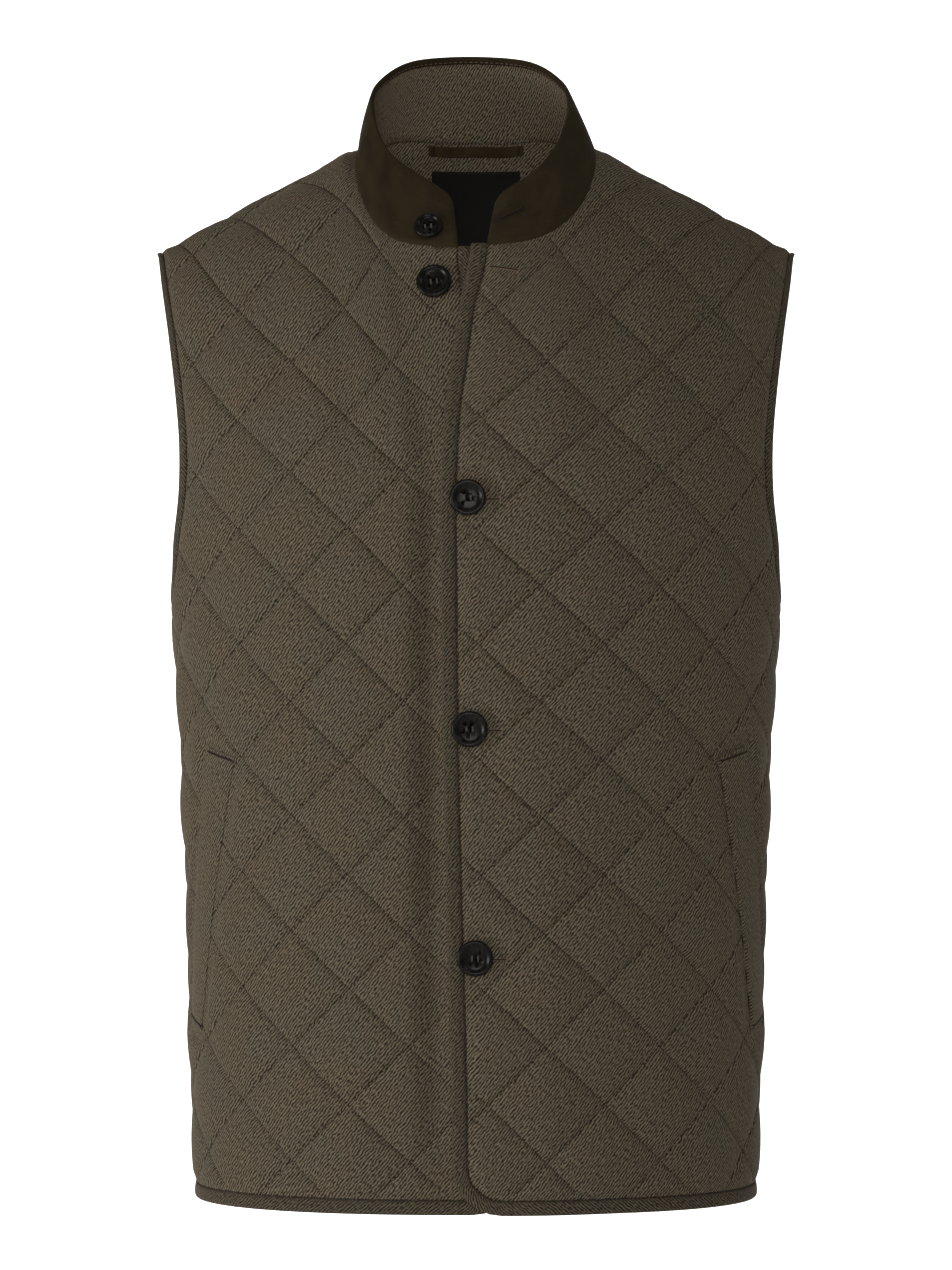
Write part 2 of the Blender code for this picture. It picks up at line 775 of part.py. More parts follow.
def collar_stations():
    """Base, top, outward direction and panel direction round the collar, from the right front."""
    rows = []
    for cut, side, run, flip in ((FRONT_RIGHT, "right", front_neck_run(FRONT_RIGHT), True),
                                 (BACK, "right", back_neck_run() * (-1, 1), False),
                                 (BACK, "left", back_neck_run(), True),
                                 (FRONT_LEFT, "left", front_neck_run(FRONT_LEFT), False)):
        s, t = run.T
        normal = cut.normal(s, t)
        straight = cut.lay(s, t)
        base = cut.point(s, t) + normal * (cut.lift(s) + WALL)[:, None]
        turn = np.arctan2(straight[:, 0] / NECK_X, (RIDGE_Y - straight[:, 1]) / NECK_BACK)
        drawn = base[:, 0] - straight[:, 0] - WALL * normal[:, 0]
        turn += COLLAR_DRAW[side] * drawn / (COLLAR_TOP_X * np.maximum(np.cos(turn), 0.35))
        shift = COLLAR_TOP_SHIFT * (1.0 - fade(np.cos(turn), 0.55, 1.0))
        top_x = COLLAR_TOP_X * np.sin(turn) + shift
        top_y = COLLAR_TOP_Y - COLLAR_TOP_DEPTH * np.cos(turn)
        top_z = curve(COLLAR_TOP, top_y, 1)
        if cut is not BACK:
            top_z -= COLLAR_CORNER * (1.0 - fade(s, s.min(), s.min() + CORNER_REACH))
        top_y += cut.lift(s) * normal[:, 1]
        part = np.stack([base, np.stack([top_x, top_y, top_z], axis=1)], axis=1)
        part = part[::-1] if flip else part
        rows.append(part if not rows else part[1:])
    return np.vstack(rows)


def collar_frames():
    """Foot, up, outward direction and height of the collar at each station."""
    stations = collar_stations()
    base, top = stations[:, 0], stations[:, 1]
    height = np.linalg.norm(top - base, axis=1)
    up = (top - base) / height[:, None]
    along = np.gradient(base + top, axis=0)
    outward = np.cross(up, along)
    outward /= np.linalg.norm(outward, axis=1, keepdims=True)
    return base + up * (2 * GAP), up, outward, height


def collar(frames):
    """Outside of the collar, turned over its top, and the facing below the turn."""
    outer, facing = [], []
    for foot, up, outward, height in zip(*frames):
        turn = height - COLLAR_TURN
        bowed = [(0.0, 0.0), (0.35 * height, COLLAR_BOW), (0.70 * height, COLLAR_BOW)]
        face = bowed + [(height - COLLAR_ROUND, 0.0), (height, -COLLAR_ROUND),
                        (height, COLLAR_ROUND - COLLAR_THICK), (height - COLLAR_ROUND, -COLLAR_THICK),
                        (turn, -COLLAR_THICK), (turn, -COLLAR_CLOTH)]
        face += [(rise, depth - COLLAR_CLOTH) for rise, depth in bowed[::-1]]
        lining = bowed + [(turn - GAP, 0.0)]
        near = COLLAR_CLOTH + GAP
        lining = ([(rise, depth - near) for rise, depth in lining[::-1]]
                  + [(rise, depth - near - FACING_CLOTH) for rise, depth in lining])
        for sections, profile in ((outer, face), (facing, lining)):
            sections.append(np.array([foot + up * rise + outward * depth for rise, depth in profile]))
    sweep("collar_outer", outer, False, COLLAR_CLOTH_FINISH)
    sweep("collar_facing", facing, False, WOOL_CLOTH)


def welt_loop(cut):
    """Pattern outline of a pocket welt, from its top and foot on the body form."""
    corners = []
    for x, z in (WELT_TOP, WELT_FOOT):
        t = np.array([z])

        def wider(s):
            return cut.roll(s, t)[0] - x
        corners.append((solve(wider, np.zeros(1), side_length(t, False))[0], z))
    top, foot = np.array(corners)
    down = (foot - top) / np.linalg.norm(foot - top)
    out = np.array([-down[1], down[0]]) * WELT_WIDTH
    count = round(np.linalg.norm(foot - top) / WELT_STEP)
    share = np.linspace(0.0, 1.0, count + 1)[:, None]
    inner = top + share * (foot - top)
    return np.vstack([inner, (inner + out)[::-1]])


def strip_loop(size, drop, follows_neck):
    """Pattern outline of a strip on the back, below its neckline."""
    width, height = size
    neck = back_neck_run()[::-1]
    s = np.linspace(-width / 2, width / 2, 5)
    if follows_neck:
        top = np.interp(np.abs(s), neck[:, 0], neck[:, 1]) - drop
    else:
        top = np.full_like(s, neck[0, 1] - drop)
    low = np.stack([s, top - height], axis=1)
    high = np.stack([s, top], axis=1)[::-1]
    return np.vstack([low, high])


def button_mesh(diameter):
    """Turned button with a raised rim and a dished middle, its back at height 0."""
    form = bmesh.new()
    rows = [(share * diameter / 2, height * BUTTON_HEIGHT) for share, height in BUTTON_PROFILE]
    rings = []
    for radius, height in rows:
        ring_points = []
        for index in range(BUTTON_SIDES):
            turn = 2 * math.pi * index / BUTTON_SIDES
            ring_points.append(form.verts.new((radius * math.cos(turn), radius * math.sin(turn), height)))
        rings.append(ring_points)
    for low, high in zip(rings, rings[1:]):
        for index in range(BUTTON_SIDES):
            beside = (index + 1) % BUTTON_SIDES
            form.faces.new((low[index], low[beside], high[beside], high[index]))
    form.faces.new(rings[0][::-1])
    form.faces.new(rings[-1])
    mesh = bpy.data.meshes.new("button")
    form.to_mesh(mesh)
    form.free()
    return mesh


def hole_cutter():
    """Four thin pins in a square, to cut a button's holes."""
    form = bmesh.new()
    for across in (-1, 1):
        for along in (-1, 1):
            place = Matrix.Translation((across * HOLE_SPACING, along * HOLE_SPACING, BUTTON_HEIGHT / 2))
            bmesh.ops.create_cone(form, cap_ends=True, segments=8, radius1=HOLE_RADIUS,
                                  radius2=HOLE_RADIUS, depth=4 * BUTTON_HEIGHT, matrix=place)
    mesh = bpy.data.meshes.new("button_holes")
    form.to_mesh(mesh)
    form.free()
    cutter = bpy.data.objects.new("button_holes", mesh)
    bpy.context.scene.collection.objects.link(cutter)
    cutter.hide_render = True
    cutter.display_type = "WIRE"
    return cutter


def add_button(name, diameter, place, outward):
    """Button with its back on a cloth, facing outwards."""
    mesh = button_mesh(diameter)
    mesh.materials.append(HORN_FINISH)
    button = bpy.data.objects.new(name, mesh)
    bpy.context.scene.collection.objects.link(button)
    turn = Vector((0, 0, 1)).rotation_difference(Vector(outward))
    button.matrix_world = Matrix.Translation(Vector(place)) @ turn.to_matrix().to_4x4()
    cutter = hole_cutter()
    cutter.matrix_world = button.matrix_world
    holes = button.modifiers.new("Holes", "BOOLEAN")
    holes.operation = "DIFFERENCE"
    holes.object = cutter


def front_button(name, cut, t, diameter):
    """Button on the outside of a front, on its line of buttons."""
    s, t = np.array([0.0]), np.array([t])
    normal = cut.normal(s, t)
    place = cut.point(s, t) + normal * (cut.lift(s) + WALL + BUTTON_SEAT)[:, None]
    add_button(name, diameter, place[0], normal[0])


def collar_button(frames):
    """Button near the right front end of the collar."""
    foot, up, outward, height = frames
    length = np.append(0.0, np.cumsum(np.linalg.norm(np.diff(foot, axis=0), axis=1)))
    index = np.searchsorted(length, COLLAR_BUTTON_INSET)
    part = (COLLAR_BUTTON_INSET - length[index - 1]) / (length[index] - length[index - 1])

    def between(values):
        return values[index - 1] + part * (values[index] - values[index - 1])
    rise = between(height) * COLLAR_BUTTON_SHARE
    away = between(outward)
    away /= np.linalg.norm(away)
    place = between(foot) + between(up) * rise + away * (COLLAR_BOW + BUTTON_SEAT)
    add_button("button_collar", COLLAR_BUTTON, place, away)


# The vest

for old in list(bpy.data.objects):
    bpy.data.objects.remove(old)

WOOL_CLOTH = material("wool_twill", WOOL, 0.90)
BIAS_CLOTH = material("wool_bias_binding", BIAS_WOOL, 0.90)
COLLAR_CLOTH_FINISH = material("collar_suede_cloth", SUEDE_CLOTH, 0.80)
LABEL_CLOTH = material("label_satin", BLACK_SATIN, 0.60)
HORN_FINISH = material("button_horn", HORN, 0.30)

LEFT_OUTLINE = front_outline(FRONT_LEFT)
RIGHT_OUTLINE = front_outline(FRONT_RIGHT)
BACK_OUTLINE = back_outline()
FRONTS = {"left": FRONT_LEFT, "right": FRONT_RIGHT}
WELT_LOOP = welt_loop(FRONT_LEFT)
LOOP_LOOP = strip_loop(LOOP_SIZE, LOOP_DROP, True)
LABEL_LOOP = strip_loop(LABEL_SIZE, LABEL_DROP, False)

for front_name, front_shape in (("left", LEFT_OUTLINE), ("right", RIGHT_OUTLINE)):
    front_cut = FRONTS[front_name]
    spots = [np.array([0.0, row[2]]) for row in BUTTONS if row[1] == front_name]
    panel = Panel("front_" + front_name, front_cut, front_shape, FRONT_LATTICE, [WELT_LOOP], [], spots)
    panel.patch("welt_" + front_name, WELT_LOOP, WELT_THICK, True, WOOL_CLOTH)
    strip = binding_sections(front_cut, front_shape, {"front", "hem"}, FRONT_BINDING)
    sweep("binding_front_" + front_name, strip, False, BIAS_CLOTH)
    armhole_binding("binding_armhole_" + front_name, front_cut, front_shape, front_cut.side)

back_panel = Panel("back", BACK, BACK_OUTLINE, BACK_LATTICE, [], [LOOP_LOOP, LABEL_LOOP], [])
back_panel.patch("hanger_loop", LOOP_LOOP, LOOP_THICK, False, COLLAR_CLOTH_FINISH)
back_panel.patch("neck_label", LABEL_LOOP, LABEL_THICK, False, LABEL_CLOTH)
sweep("binding_back_hem", binding_sections(BACK, BACK_OUTLINE, {"hem"}, FRONT_BINDING), False, BIAS_CLOTH)

COLLAR_FRAMES = collar_frames()
collar(COLLAR_FRAMES)
collar_button(COLLAR_FRAMES)
for button_name, front_name, button_t, button_size in BUTTONS:
    front_button(button_name, FRONTS[front_name], button_t, button_size)
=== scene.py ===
"""Looks of a quilted wool vest: its cloth, sewing, buttons, stage and light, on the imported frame.

Metres, +Z up, the front towards -Y and the wearer's left towards +X. Each cut piece is drawn flat,
as a pattern with s along the cloth and t up it, and is laid on the same body form as the solids.
"""
import math
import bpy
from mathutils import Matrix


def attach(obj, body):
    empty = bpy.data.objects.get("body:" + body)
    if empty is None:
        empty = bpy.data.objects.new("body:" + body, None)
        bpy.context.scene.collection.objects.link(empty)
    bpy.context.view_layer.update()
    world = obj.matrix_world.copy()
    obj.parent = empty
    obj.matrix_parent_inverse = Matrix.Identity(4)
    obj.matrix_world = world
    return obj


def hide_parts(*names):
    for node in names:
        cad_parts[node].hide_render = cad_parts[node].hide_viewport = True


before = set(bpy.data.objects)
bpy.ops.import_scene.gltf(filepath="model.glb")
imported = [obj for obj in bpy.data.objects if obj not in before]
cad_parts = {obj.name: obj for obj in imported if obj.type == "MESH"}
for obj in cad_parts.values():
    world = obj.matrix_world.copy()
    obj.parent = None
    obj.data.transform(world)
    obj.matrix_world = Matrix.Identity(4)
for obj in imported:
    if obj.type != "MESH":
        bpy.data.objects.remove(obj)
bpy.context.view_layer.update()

import bmesh
import bpy
import numpy as np
from bpy.props import FloatProperty, FloatVectorProperty, IntProperty, PointerProperty
from mathutils import Matrix, Vector
from mathutils.geometry import delaunay_2d_cdt

bl_info = {
    "name": "Quilted wool vest",
    "version": (1, 0, 0),
    "blender": (4, 5, 0),
    "location": "3D View > Sidebar > Vest",
    "description": "Dresses the solids of a quilted wool vest in cloth, sewing and buttons",
    "category": "Object",
}

BODY_NAME = "root"

# Cloth and seams
SEAM_GAP = 0.00006
SEAM_LAP = 0.0004
WALL = 0.0018
PUFF_POWER = 0.52
PUFF_FADE = 0.009
FRONT_BINDING = 0.0088
ARMHOLE_BINDING = 0.0080
BINDING_THICK = 0.0030
SECTION_STEP = 0.0040

# Heights
HEM_Z = -0.636
ARMPIT_Z = -0.253
CHEST_Z = -0.215
BLADE_Z = -0.150
NECK_SIDE_Z = 0.0305

# Body form: the ring at each height is a rounded oblong
RING_POWER = 2.35
RING_STEPS = 161
SIDE_Y = 0.005
BODY = (
    # height, half_width, front_depth, back_depth
    (-0.680, 0.1755, 0.1140, 0.1100),
    (-0.560, 0.1790, 0.1170, 0.1105),
    (-0.440, 0.1820, 0.1205, 0.1105),
    (-0.330, 0.1865, 0.1240, 0.1125),
    (-0.253, 0.1925, 0.1265, 0.1150),
    (-0.170, 0.1985, 0.1265, 0.1170),
    (-0.035, 0.2100, 0.1240, 0.1180),
    (0.120, 0.2140, 0.1200, 0.1180),
)

# Shoulders and neck
RIDGE_Y = -0.008
ROLL_POWER = 1.25
SHOULDER_FALL = 0.5325
RIDGE_ROUND = 0.012
TIP_X = 0.2026
NECK_X = 0.0745
NECK_DROP = 0.0675
NECK_BACK = 0.076
BACK_RISE = 0.045
BACK_RISE_POWER = 1.3
NECK_SPACING = 1.5

# Armhole edges: how far the edge lies from the side seam, by its share of the armhole's height
ARMHOLE_FRONT = (
    # rise, reach
    (0.000, 0.0000),
    (0.012, 0.0180),
    (0.055, 0.0310),
    (0.140, 0.0405),
    (0.280, 0.0550),
    (0.430, 0.0605),
    (0.570, 0.0600),
    (0.720, 0.0560),
    (0.870, 0.0490),
)
ARMHOLE_BACK = (
    # rise, reach
    (0.000, 0.0000),
    (0.012, 0.0220),
    (0.055, 0.0400),
    (0.140, 0.0540),
    (0.280, 0.0670),
    (0.430, 0.0700),
    (0.570, 0.0660),
    (0.720, 0.0590),
    (0.870, 0.0480),
)

# Front edges: s is 0 on the line of buttons
LEFT_EXTENT = 0.0166
RIGHT_EXTENT = 0.0250
CORNER_RADIUS = 0.030
SWING_REACH = 0.105
SWING = (
    # height, left_front, right_front: how far the open neck swings each front out to its side
    (-0.680, 0.0030, -0.0030),
    (-0.565, 0.0018, -0.0018),
    (-0.440, -0.0013, 0.0013),
    (-0.318, -0.0038, 0.0038),
    (-0.256, -0.0044, 0.0044),
    (-0.170, -0.0042, 0.0050),
    (-0.130, -0.0015, 0.0100),
    (-0.098, 0.0030, 0.0165),
    (-0.066, 0.0070, 0.0235),
    (-0.028, 0.0141, 0.0270),
    (0.015, 0.0090, 0.0170),
    (0.060, 0.0, 0.0),
    (0.120, 0.0, 0.0),
)
OVERLAP_LIFT = 0.0037
OVERLAP_FULL = 0.032
OVERLAP_END = 0.095
UNDERLAP_FLAT = 0.024

# Quilting: squares on point, in the pattern
LATTICE_WIDTH = 0.0740
LATTICE_HEIGHT = 0.0712
FRONT_LATTICE = (0.0050, -0.0697)
BACK_LATTICE = (0.0, -0.0341)

# Collar
COLLAR_TOP_X = 0.064
COLLAR_TOP_SHIFT = -0.0036
COLLAR_TOP_Y = -0.0025
COLLAR_TOP_DEPTH = 0.0675
COLLAR_TOP = (
    # depth_y, height of the top edge
    (-0.0760, -0.0060),
    (-0.0670, 0.0030),
    (-0.0578, 0.0135),
    (-0.0506, 0.0205),
    (-0.0422, 0.0288),
    (-0.0300, 0.0415),
    (-0.0177, 0.0535),
    (-0.0025, 0.0655),
    (0.0164, 0.0764),
    (0.0304, 0.0838),
    (0.0404, 0.0896),
    (0.0508, 0.0950),
    (0.0660, 0.1000),
)
COLLAR_DRAW = {"left": 1.3, "right": 1.0}
COLLAR_CORNER = 0.0045
CORNER_REACH = 0.014
COLLAR_STATIONS = 33
COLLAR_COUNT = 150
COLLAR_SMOOTHING = 2
COLLAR_SINK = 0.0008
COLLAR_RADIUS = 0.006
COLLAR_CLOTH = 0.0013
COLLAR_EDGE = 0.0015
COLLAR_TURN = 0.0050
COLLAR_BOW = 0.0012
FACING_CLOTH = 0.0011

# Pocket welts
WELT_TOP = (0.149, -0.3536)
WELT_FOOT = (0.1715, -0.5277)
WELT_WIDTH = 0.0265
WELT_FLAT = 0.0035
EDGE_STRETCH = 0.1
WELT_LIE = {
    # thickness, and how far its edge rolls over: the right one is pressed flat
    "left": (0.0024, 0.0022),
    "right": (0.0008, 0.0100),
}

# Neck label and hanger loop, on the inside of the back
LOOP_SIZE = (0.062, 0.0070)
LOOP_DROP = 0.0020
LOOP_THICK = 0.0014
LOOP_ROLL = 0.0010
LABEL_SIZE = (0.058, 0.058)
LABEL_DROP = 0.0190
LABEL_THICK = 0.0010
LABEL_ROLL = 0.0009

# Buttons: a turned profile with a raised rim, and four holes
BUTTON_SEAT = 0.0005
BUTTON_FLAT = 0.017
BUTTON_HEIGHT = 0.0042
HOLE_RADIUS = 0.0010
HOLE_SPACING = 0.0019
BUTTONS = (
    # name, front, height_t, diameter
    ("button_neck", "right", -0.0530, 0.0220),
    ("button_chest", "left", -0.1935, 0.0225),
    ("button_waist", "left", -0.3355, 0.0225),
    ("button_lower", "left", -0.4765, 0.0225),
)
COLLAR_BUTTON = 0.0180
COLLAR_BUTTON_INSET = 0.019
COLLAR_BUTTON_SHARE = 0.24
THREAD_PAIR = 0.0007
THREAD_LIFT = 0.00022
DITCH = 0.0007
LINE_MARGIN = 0.0014

# Tables and curves


def curve(rows, at, column):
    """Smooth value of one column of a table, by cubics through its rows."""
    keys = np.array([row[0] for row in rows])
    values = np.array([row[column] for row in rows])
    slopes = np.gradient(values, keys)
    index = np.clip(np.searchsorted(keys, at) - 1, 0, len(keys) - 2)
    span = keys[index + 1] - keys[index]
    part = np.clip((at - keys[index]) / span, 0.0, 1.0)
    return hermite(part, values[index], values[index + 1],
                   slopes[index] * span, slopes[index + 1] * span)


def hermite(part, start, end, start_slope, end_slope):
    """Cubic from start to end with the given slopes."""
    square = part * part
    cube = square * part
    return ((2 * cube - 3 * square + 1) * start + (cube - 2 * square + part) * start_slope
            + (3 * square - 2 * cube) * end + (cube - square) * end_slope)


def fade(value, low, high):
    """Smooth step from 0 at low to 1 at high."""
    part = np.clip((value - low) / (high - low), 0.0, 1.0)
    return part * part * (3.0 - 2.0 * part)


def solve(rising, low, high):
    """Root of a rising function between two arrays of limits."""
    for _ in range(46):
        middle = (low + high) / 2
        above = rising(middle) > 0
        high = np.where(above, middle, high)
        low = np.where(above, low, middle)
    return (low + high) / 2


def steps(start, end, pitch):
    """Even values from start up to, but without, end."""
    count = max(2, round(abs(end - start) / pitch))
    return np.linspace(start, end, count, endpoint=False)


# Body form


def ring_table(level, from_back):
    """Points of the half ring at each level, and the cloth length up to each of them."""
    angle = np.linspace(0.0, math.pi, RING_STEPS)
    if from_back:
        angle = angle[::-1]
    x, y = ring_at(angle[None, :], level[:, None])
    length = np.hypot(np.diff(x, axis=1), np.diff(y, axis=1))
    total = np.concatenate([np.zeros((len(level), 1)), np.cumsum(length, axis=1)], axis=1)
    return angle, total


def ring_at(angle, level):
    """Point of the ring at an angle from the centre front."""
    half_width = curve(BODY, level, 1)
    front = curve(BODY, level, 2) + SIDE_Y
    back = curve(BODY, level, 3) - SIDE_Y
    cosine = np.cos(angle)
    depth = np.where(cosine > 0, -front, back)
    power = 2.0 / RING_POWER
    x = half_width * np.abs(np.sin(angle)) ** power
    y = SIDE_Y + depth * np.abs(cosine) ** power
    return x, y


def ring(length, level, from_back):
    """Point of the ring at a cloth length from the centre front or the centre back."""
    angle, total = ring_table(level, from_back)
    reach = np.abs(length)
    index = np.clip((total < reach[:, None]).sum(axis=1) - 1, 0, RING_STEPS - 2)
    row = np.arange(len(reach))
    span = total[row, index + 1] - total[row, index]
    part = (reach - total[row, index]) / span
    turn = angle[index] + part * (angle[index + 1] - angle[index])
    x, y = ring_at(turn, level)
    return np.where(length < 0, -x, x), y


def side_length(level, from_back):
    """Cloth length from the centre to the side seam."""
    _, total = ring_table(level, from_back)
    return total[:, RING_STEPS // 2]


def ridge_height(x, from_back):
    """Height of the top of the shoulder, which the back carries up to the nape."""
    reach = np.sqrt(x * x + RIDGE_ROUND ** 2) - math.hypot(NECK_X, RIDGE_ROUND)
    height = NECK_SIDE_Z - SHOULDER_FALL * reach
    if from_back:
        inside = np.clip(1.0 - (x / NECK_X) ** 4, 0.0, 1.0)
        height = height + BACK_RISE * inside ** BACK_RISE_POWER
    return height


def roll_length(rise, reach):
    """Length of a quarter ellipse."""
    ratio = ((rise - reach) / (rise + reach)) ** 2
    return math.pi / 4 * (rise + reach) * (1 + 3 * ratio / (10 + np.sqrt(4 - 3 * ratio)))


class Cut:
    """One cut panel, and how its flat pattern lies on the body form."""

    def __init__(self, from_back, side, extent=0.0, swing_column=None, lifted=False):
        self.from_back = from_back
        self.side = side
        self.out = -1 if from_back else side
        self.foot = BLADE_Z if from_back else CHEST_Z
        self.extent = extent
        self.swing_column = swing_column
        self.lifted = lifted

    def swing(self, s, t):
        """How far the cloth is drawn aside at the front opening."""
        if self.swing_column is None:
            return np.zeros_like(s)
        return curve(SWING, t, self.swing_column) * (1.0 - fade(s, 0.0, SWING_REACH))

    def lift(self, s):
        """Height over the body form: the top front passes over the one below it."""
        if not self.lifted:
            return np.zeros_like(s)
        return OVERLAP_LIFT * (1.0 - fade(s, OVERLAP_FULL, OVERLAP_END))

    def roll(self, s, t):
        """Ring point of a pattern point, with the rise and length of the roll above it."""
        x, y = ring(s, t, self.from_back)
        rise = ridge_height(x, self.from_back) - self.foot
        reach = np.abs(y - RIDGE_Y)
        return x, y, rise, reach, roll_length(rise, reach)

    def lay(self, s, t):
        """Place of a pattern point with the front hanging straight."""
        x, y, rise, reach, total = self.roll(s, t)
        part = np.clip((t - self.foot) / total, 0.0, 1.0)
        end_slope = np.minimum(total / reach, 2.8)
        turn = hermite(part, 0.0, math.pi / 2, total / rise, end_slope)
        bent = np.clip(np.cos(turn), 0.0, 1.0) ** ROLL_POWER
        y = np.where(part > 0, RIDGE_Y + (y - RIDGE_Y) * bent, y)
        z = np.where(part > 0, self.foot + rise * np.sin(turn), t)
        return np.stack([self.side * x, y, z], axis=1)

    def point(self, s, t):
        """Place of a pattern point on the body form."""
        return self.lay(s + self.swing(s, t), t)

    def normal(self, s, t):
        """Outward direction at a pattern point."""
        step = 0.0006
        along = self.point(s + step, t) - self.point(s - step, t)
        up = self.point(s, t) - self.point(s, t - 2 * step)
        across = np.cross(along, up) * self.out
        return across / np.linalg.norm(across, axis=1, keepdims=True)

    def top(self, s):
        """Pattern height of the shoulder seam."""
        t = np.full_like(s, NECK_SIDE_Z)
        for _ in range(12):
            t = self.foot + self.roll(s, t)[4]
        return t

    def s_at_width(self, x):
        """Pattern place on the shoulder seam with a given distance from the middle."""
        def wider(s):
            return self.roll(s, self.top(s))[0] - x
        return solve(wider, np.zeros_like(x), np.full_like(x, 0.30))

    def s_at_reach(self, reach, t):
        """Pattern place with a given depth before or behind the side seam."""
        sign = -1.0 if self.from_back else 1.0
        target = SIDE_Y - sign * reach

        def nearer(s):
            return sign * (self.roll(s, t)[1] - target)
        return solve(nearer, np.zeros_like(t), side_length(t, self.from_back))


FRONT_LEFT = Cut(False, 1, LEFT_EXTENT, 1, lifted=True)
FRONT_RIGHT = Cut(False, -1, RIGHT_EXTENT, 2)
BACK = Cut(True, 1)


# Pattern outlines, as runs of points that go round counterclockwise


def side_run(cut):
    """Side seam from the hem up to the armpit."""
    t = steps(HEM_Z, ARMPIT_Z, SECTION_STEP)
    return np.stack([side_length(t, cut.from_back), t], axis=1)


def armhole_run(cut):
    """Armhole edge from the armpit up to the shoulder tip."""
    rows = ARMHOLE_BACK if cut.from_back else ARMHOLE_FRONT
    tip_s = cut.s_at_width(np.array([TIP_X]))
    tip_t = cut.top(tip_s)
    rise = np.array([row[0] for row in rows])
    t = ARMPIT_Z + (tip_t[0] - ARMPIT_Z) * rise
    s = cut.s_at_reach(np.array([row[1] for row in rows]), t)
    knots = np.stack([np.append(s, tip_s), np.append(t, tip_t)], axis=1)
    return smooth_run(knots, SECTION_STEP)


def smooth_run(knots, pitch):
    """Even points, without the last, on a smooth curve through the knots."""
    length = np.append(0.0, np.cumsum(np.linalg.norm(np.diff(knots, axis=0), axis=1)))
    rows = [(key, *knot) for key, knot in zip(length, knots)]
    at = steps(0.0, length[-1], pitch)
    return np.stack([curve(rows, at, 1), curve(rows, at, 2)], axis=1)


def shoulder_run(cut):
    """Shoulder seam from the tip to the neck."""
    s = cut.s_at_width(steps(TIP_X, NECK_X, SECTION_STEP))
    return np.stack([s, cut.top(s)], axis=1)


def front_neck_run(cut):
    """Neckline from the shoulder seam to the front edge."""
    neck_s = cut.s_at_width(np.array([NECK_X]))[0]
    share = np.linspace(0.0, 1.0, COLLAR_STATIONS, endpoint=False) ** NECK_SPACING
    s = np.append(neck_s * np.cos(share * math.pi / 2), np.array([0.0, -cut.extent + FRONT_BINDING]))
    top = cut.top(s)

    def above(t):
        place = cut.lay(s, t)
        x = np.clip(cut.side * place[:, 0], 0.0, NECK_X)
        oval = NECK_SIDE_Z - NECK_DROP * np.sqrt(1.0 - (x / NECK_X) ** 2)
        return place[:, 2] - oval
    t = solve(above, np.full_like(s, CHEST_Z), top)
    t[0] = top[0]
    return np.stack([s, t], axis=1)


def back_neck_run():
    """Neckline of the right half of the back, from the shoulder seam to the middle."""
    neck_s = BACK.s_at_width(np.array([NECK_X]))[0]
    share = np.linspace(0.0, 1.0, COLLAR_STATIONS)
    s = neck_s * np.cos(share * math.pi / 2)
    top = BACK.top(s)

    def above(t):
        place = BACK.lay(s, t)
        x = np.clip(place[:, 0], 0.0, NECK_X)
        return RIDGE_Y + NECK_BACK * np.sqrt(1.0 - (x / NECK_X) ** 2) - place[:, 1]
    t = solve(above, np.full_like(s, BLADE_Z), top)
    t[0] = top[0]
    return np.stack([s, t], axis=1)


def front_outline(cut):
    """Whole outline of a front, with the kind of each stretch."""
    neck = front_neck_run(cut)
    edge_s = -cut.extent
    edge_t = steps(neck[-1, 1], HEM_Z + CORNER_RADIUS, SECTION_STEP)
    edge = np.stack([np.full_like(edge_t, edge_s), edge_t], axis=1)
    turn = steps(math.pi, 1.5 * math.pi, math.pi / 12)
    corner = np.stack([edge_s + CORNER_RADIUS * (1 + np.cos(turn)),
                       HEM_Z + CORNER_RADIUS * (1 + np.sin(turn))], axis=1)
    hem_end = side_length(np.array([HEM_Z]), False)[0]
    hem_s = steps(edge_s + CORNER_RADIUS, hem_end, SECTION_STEP)
    hem = np.stack([hem_s, np.full_like(hem_s, HEM_Z)], axis=1)
    return join_runs([("hem", hem), ("side", side_run(cut)), ("armhole", armhole_run(cut)),
                      ("shoulder", shoulder_run(cut)), ("neck", neck),
                      ("front", edge), ("front", corner)])


def back_outline():
    """Whole outline of the back: its right half, then the same mirrored."""
    hem_end = side_length(np.array([HEM_Z]), True)[0]
    hem_s = steps(-hem_end, hem_end, SECTION_STEP)
    hem = np.stack([hem_s, np.full_like(hem_s, HEM_Z)], axis=1)
    side, armhole, shoulder = side_run(BACK), armhole_run(BACK), shoulder_run(BACK)
    neck = back_neck_run()
    right = [("side", side), ("armhole", armhole), ("shoulder", shoulder), ("neck", neck[:-1])]
    left = []
    ends = [armhole[0], shoulder[0], neck[0], neck[-1]]
    for (kind, run), end in zip(right, ends):
        back_run = np.vstack([run[1:], end])[::-1] * (-1, 1)
        left.insert(0, (kind, back_run))
    return join_runs([("hem", hem)] + right + left)


def join_runs(runs):
    """Points of an outline and the kind of the edge that starts at each."""
    points = np.vstack([run for _, run in runs])
    kinds = [kind for kind, run in runs for _ in run]
    return points, kinds


def inset_outline(outline, distance):
    """Outline moved inwards, by the distance that each kind of edge is given."""
    points, kinds = outline
    following = np.roll(points, -1, axis=0)
    direction = following - points
    direction /= np.linalg.norm(direction, axis=1, keepdims=True)
    normal = np.stack([-direction[:, 1], direction[:, 0]], axis=1)
    amount = np.array([distance.get(kind, 0.0) for kind in kinds])
    moved = np.empty_like(points)
    for index in range(len(points)):
        lines = np.array([normal[index - 1], normal[index]])
        target = np.array([amount[index - 1], amount[index]])
        if abs(np.linalg.det(lines)) < 0.02:
            step = normal[index] * target.mean()
        else:
            step = np.linalg.solve(lines, target)
        moved[index] = points[index] + step
    return moved


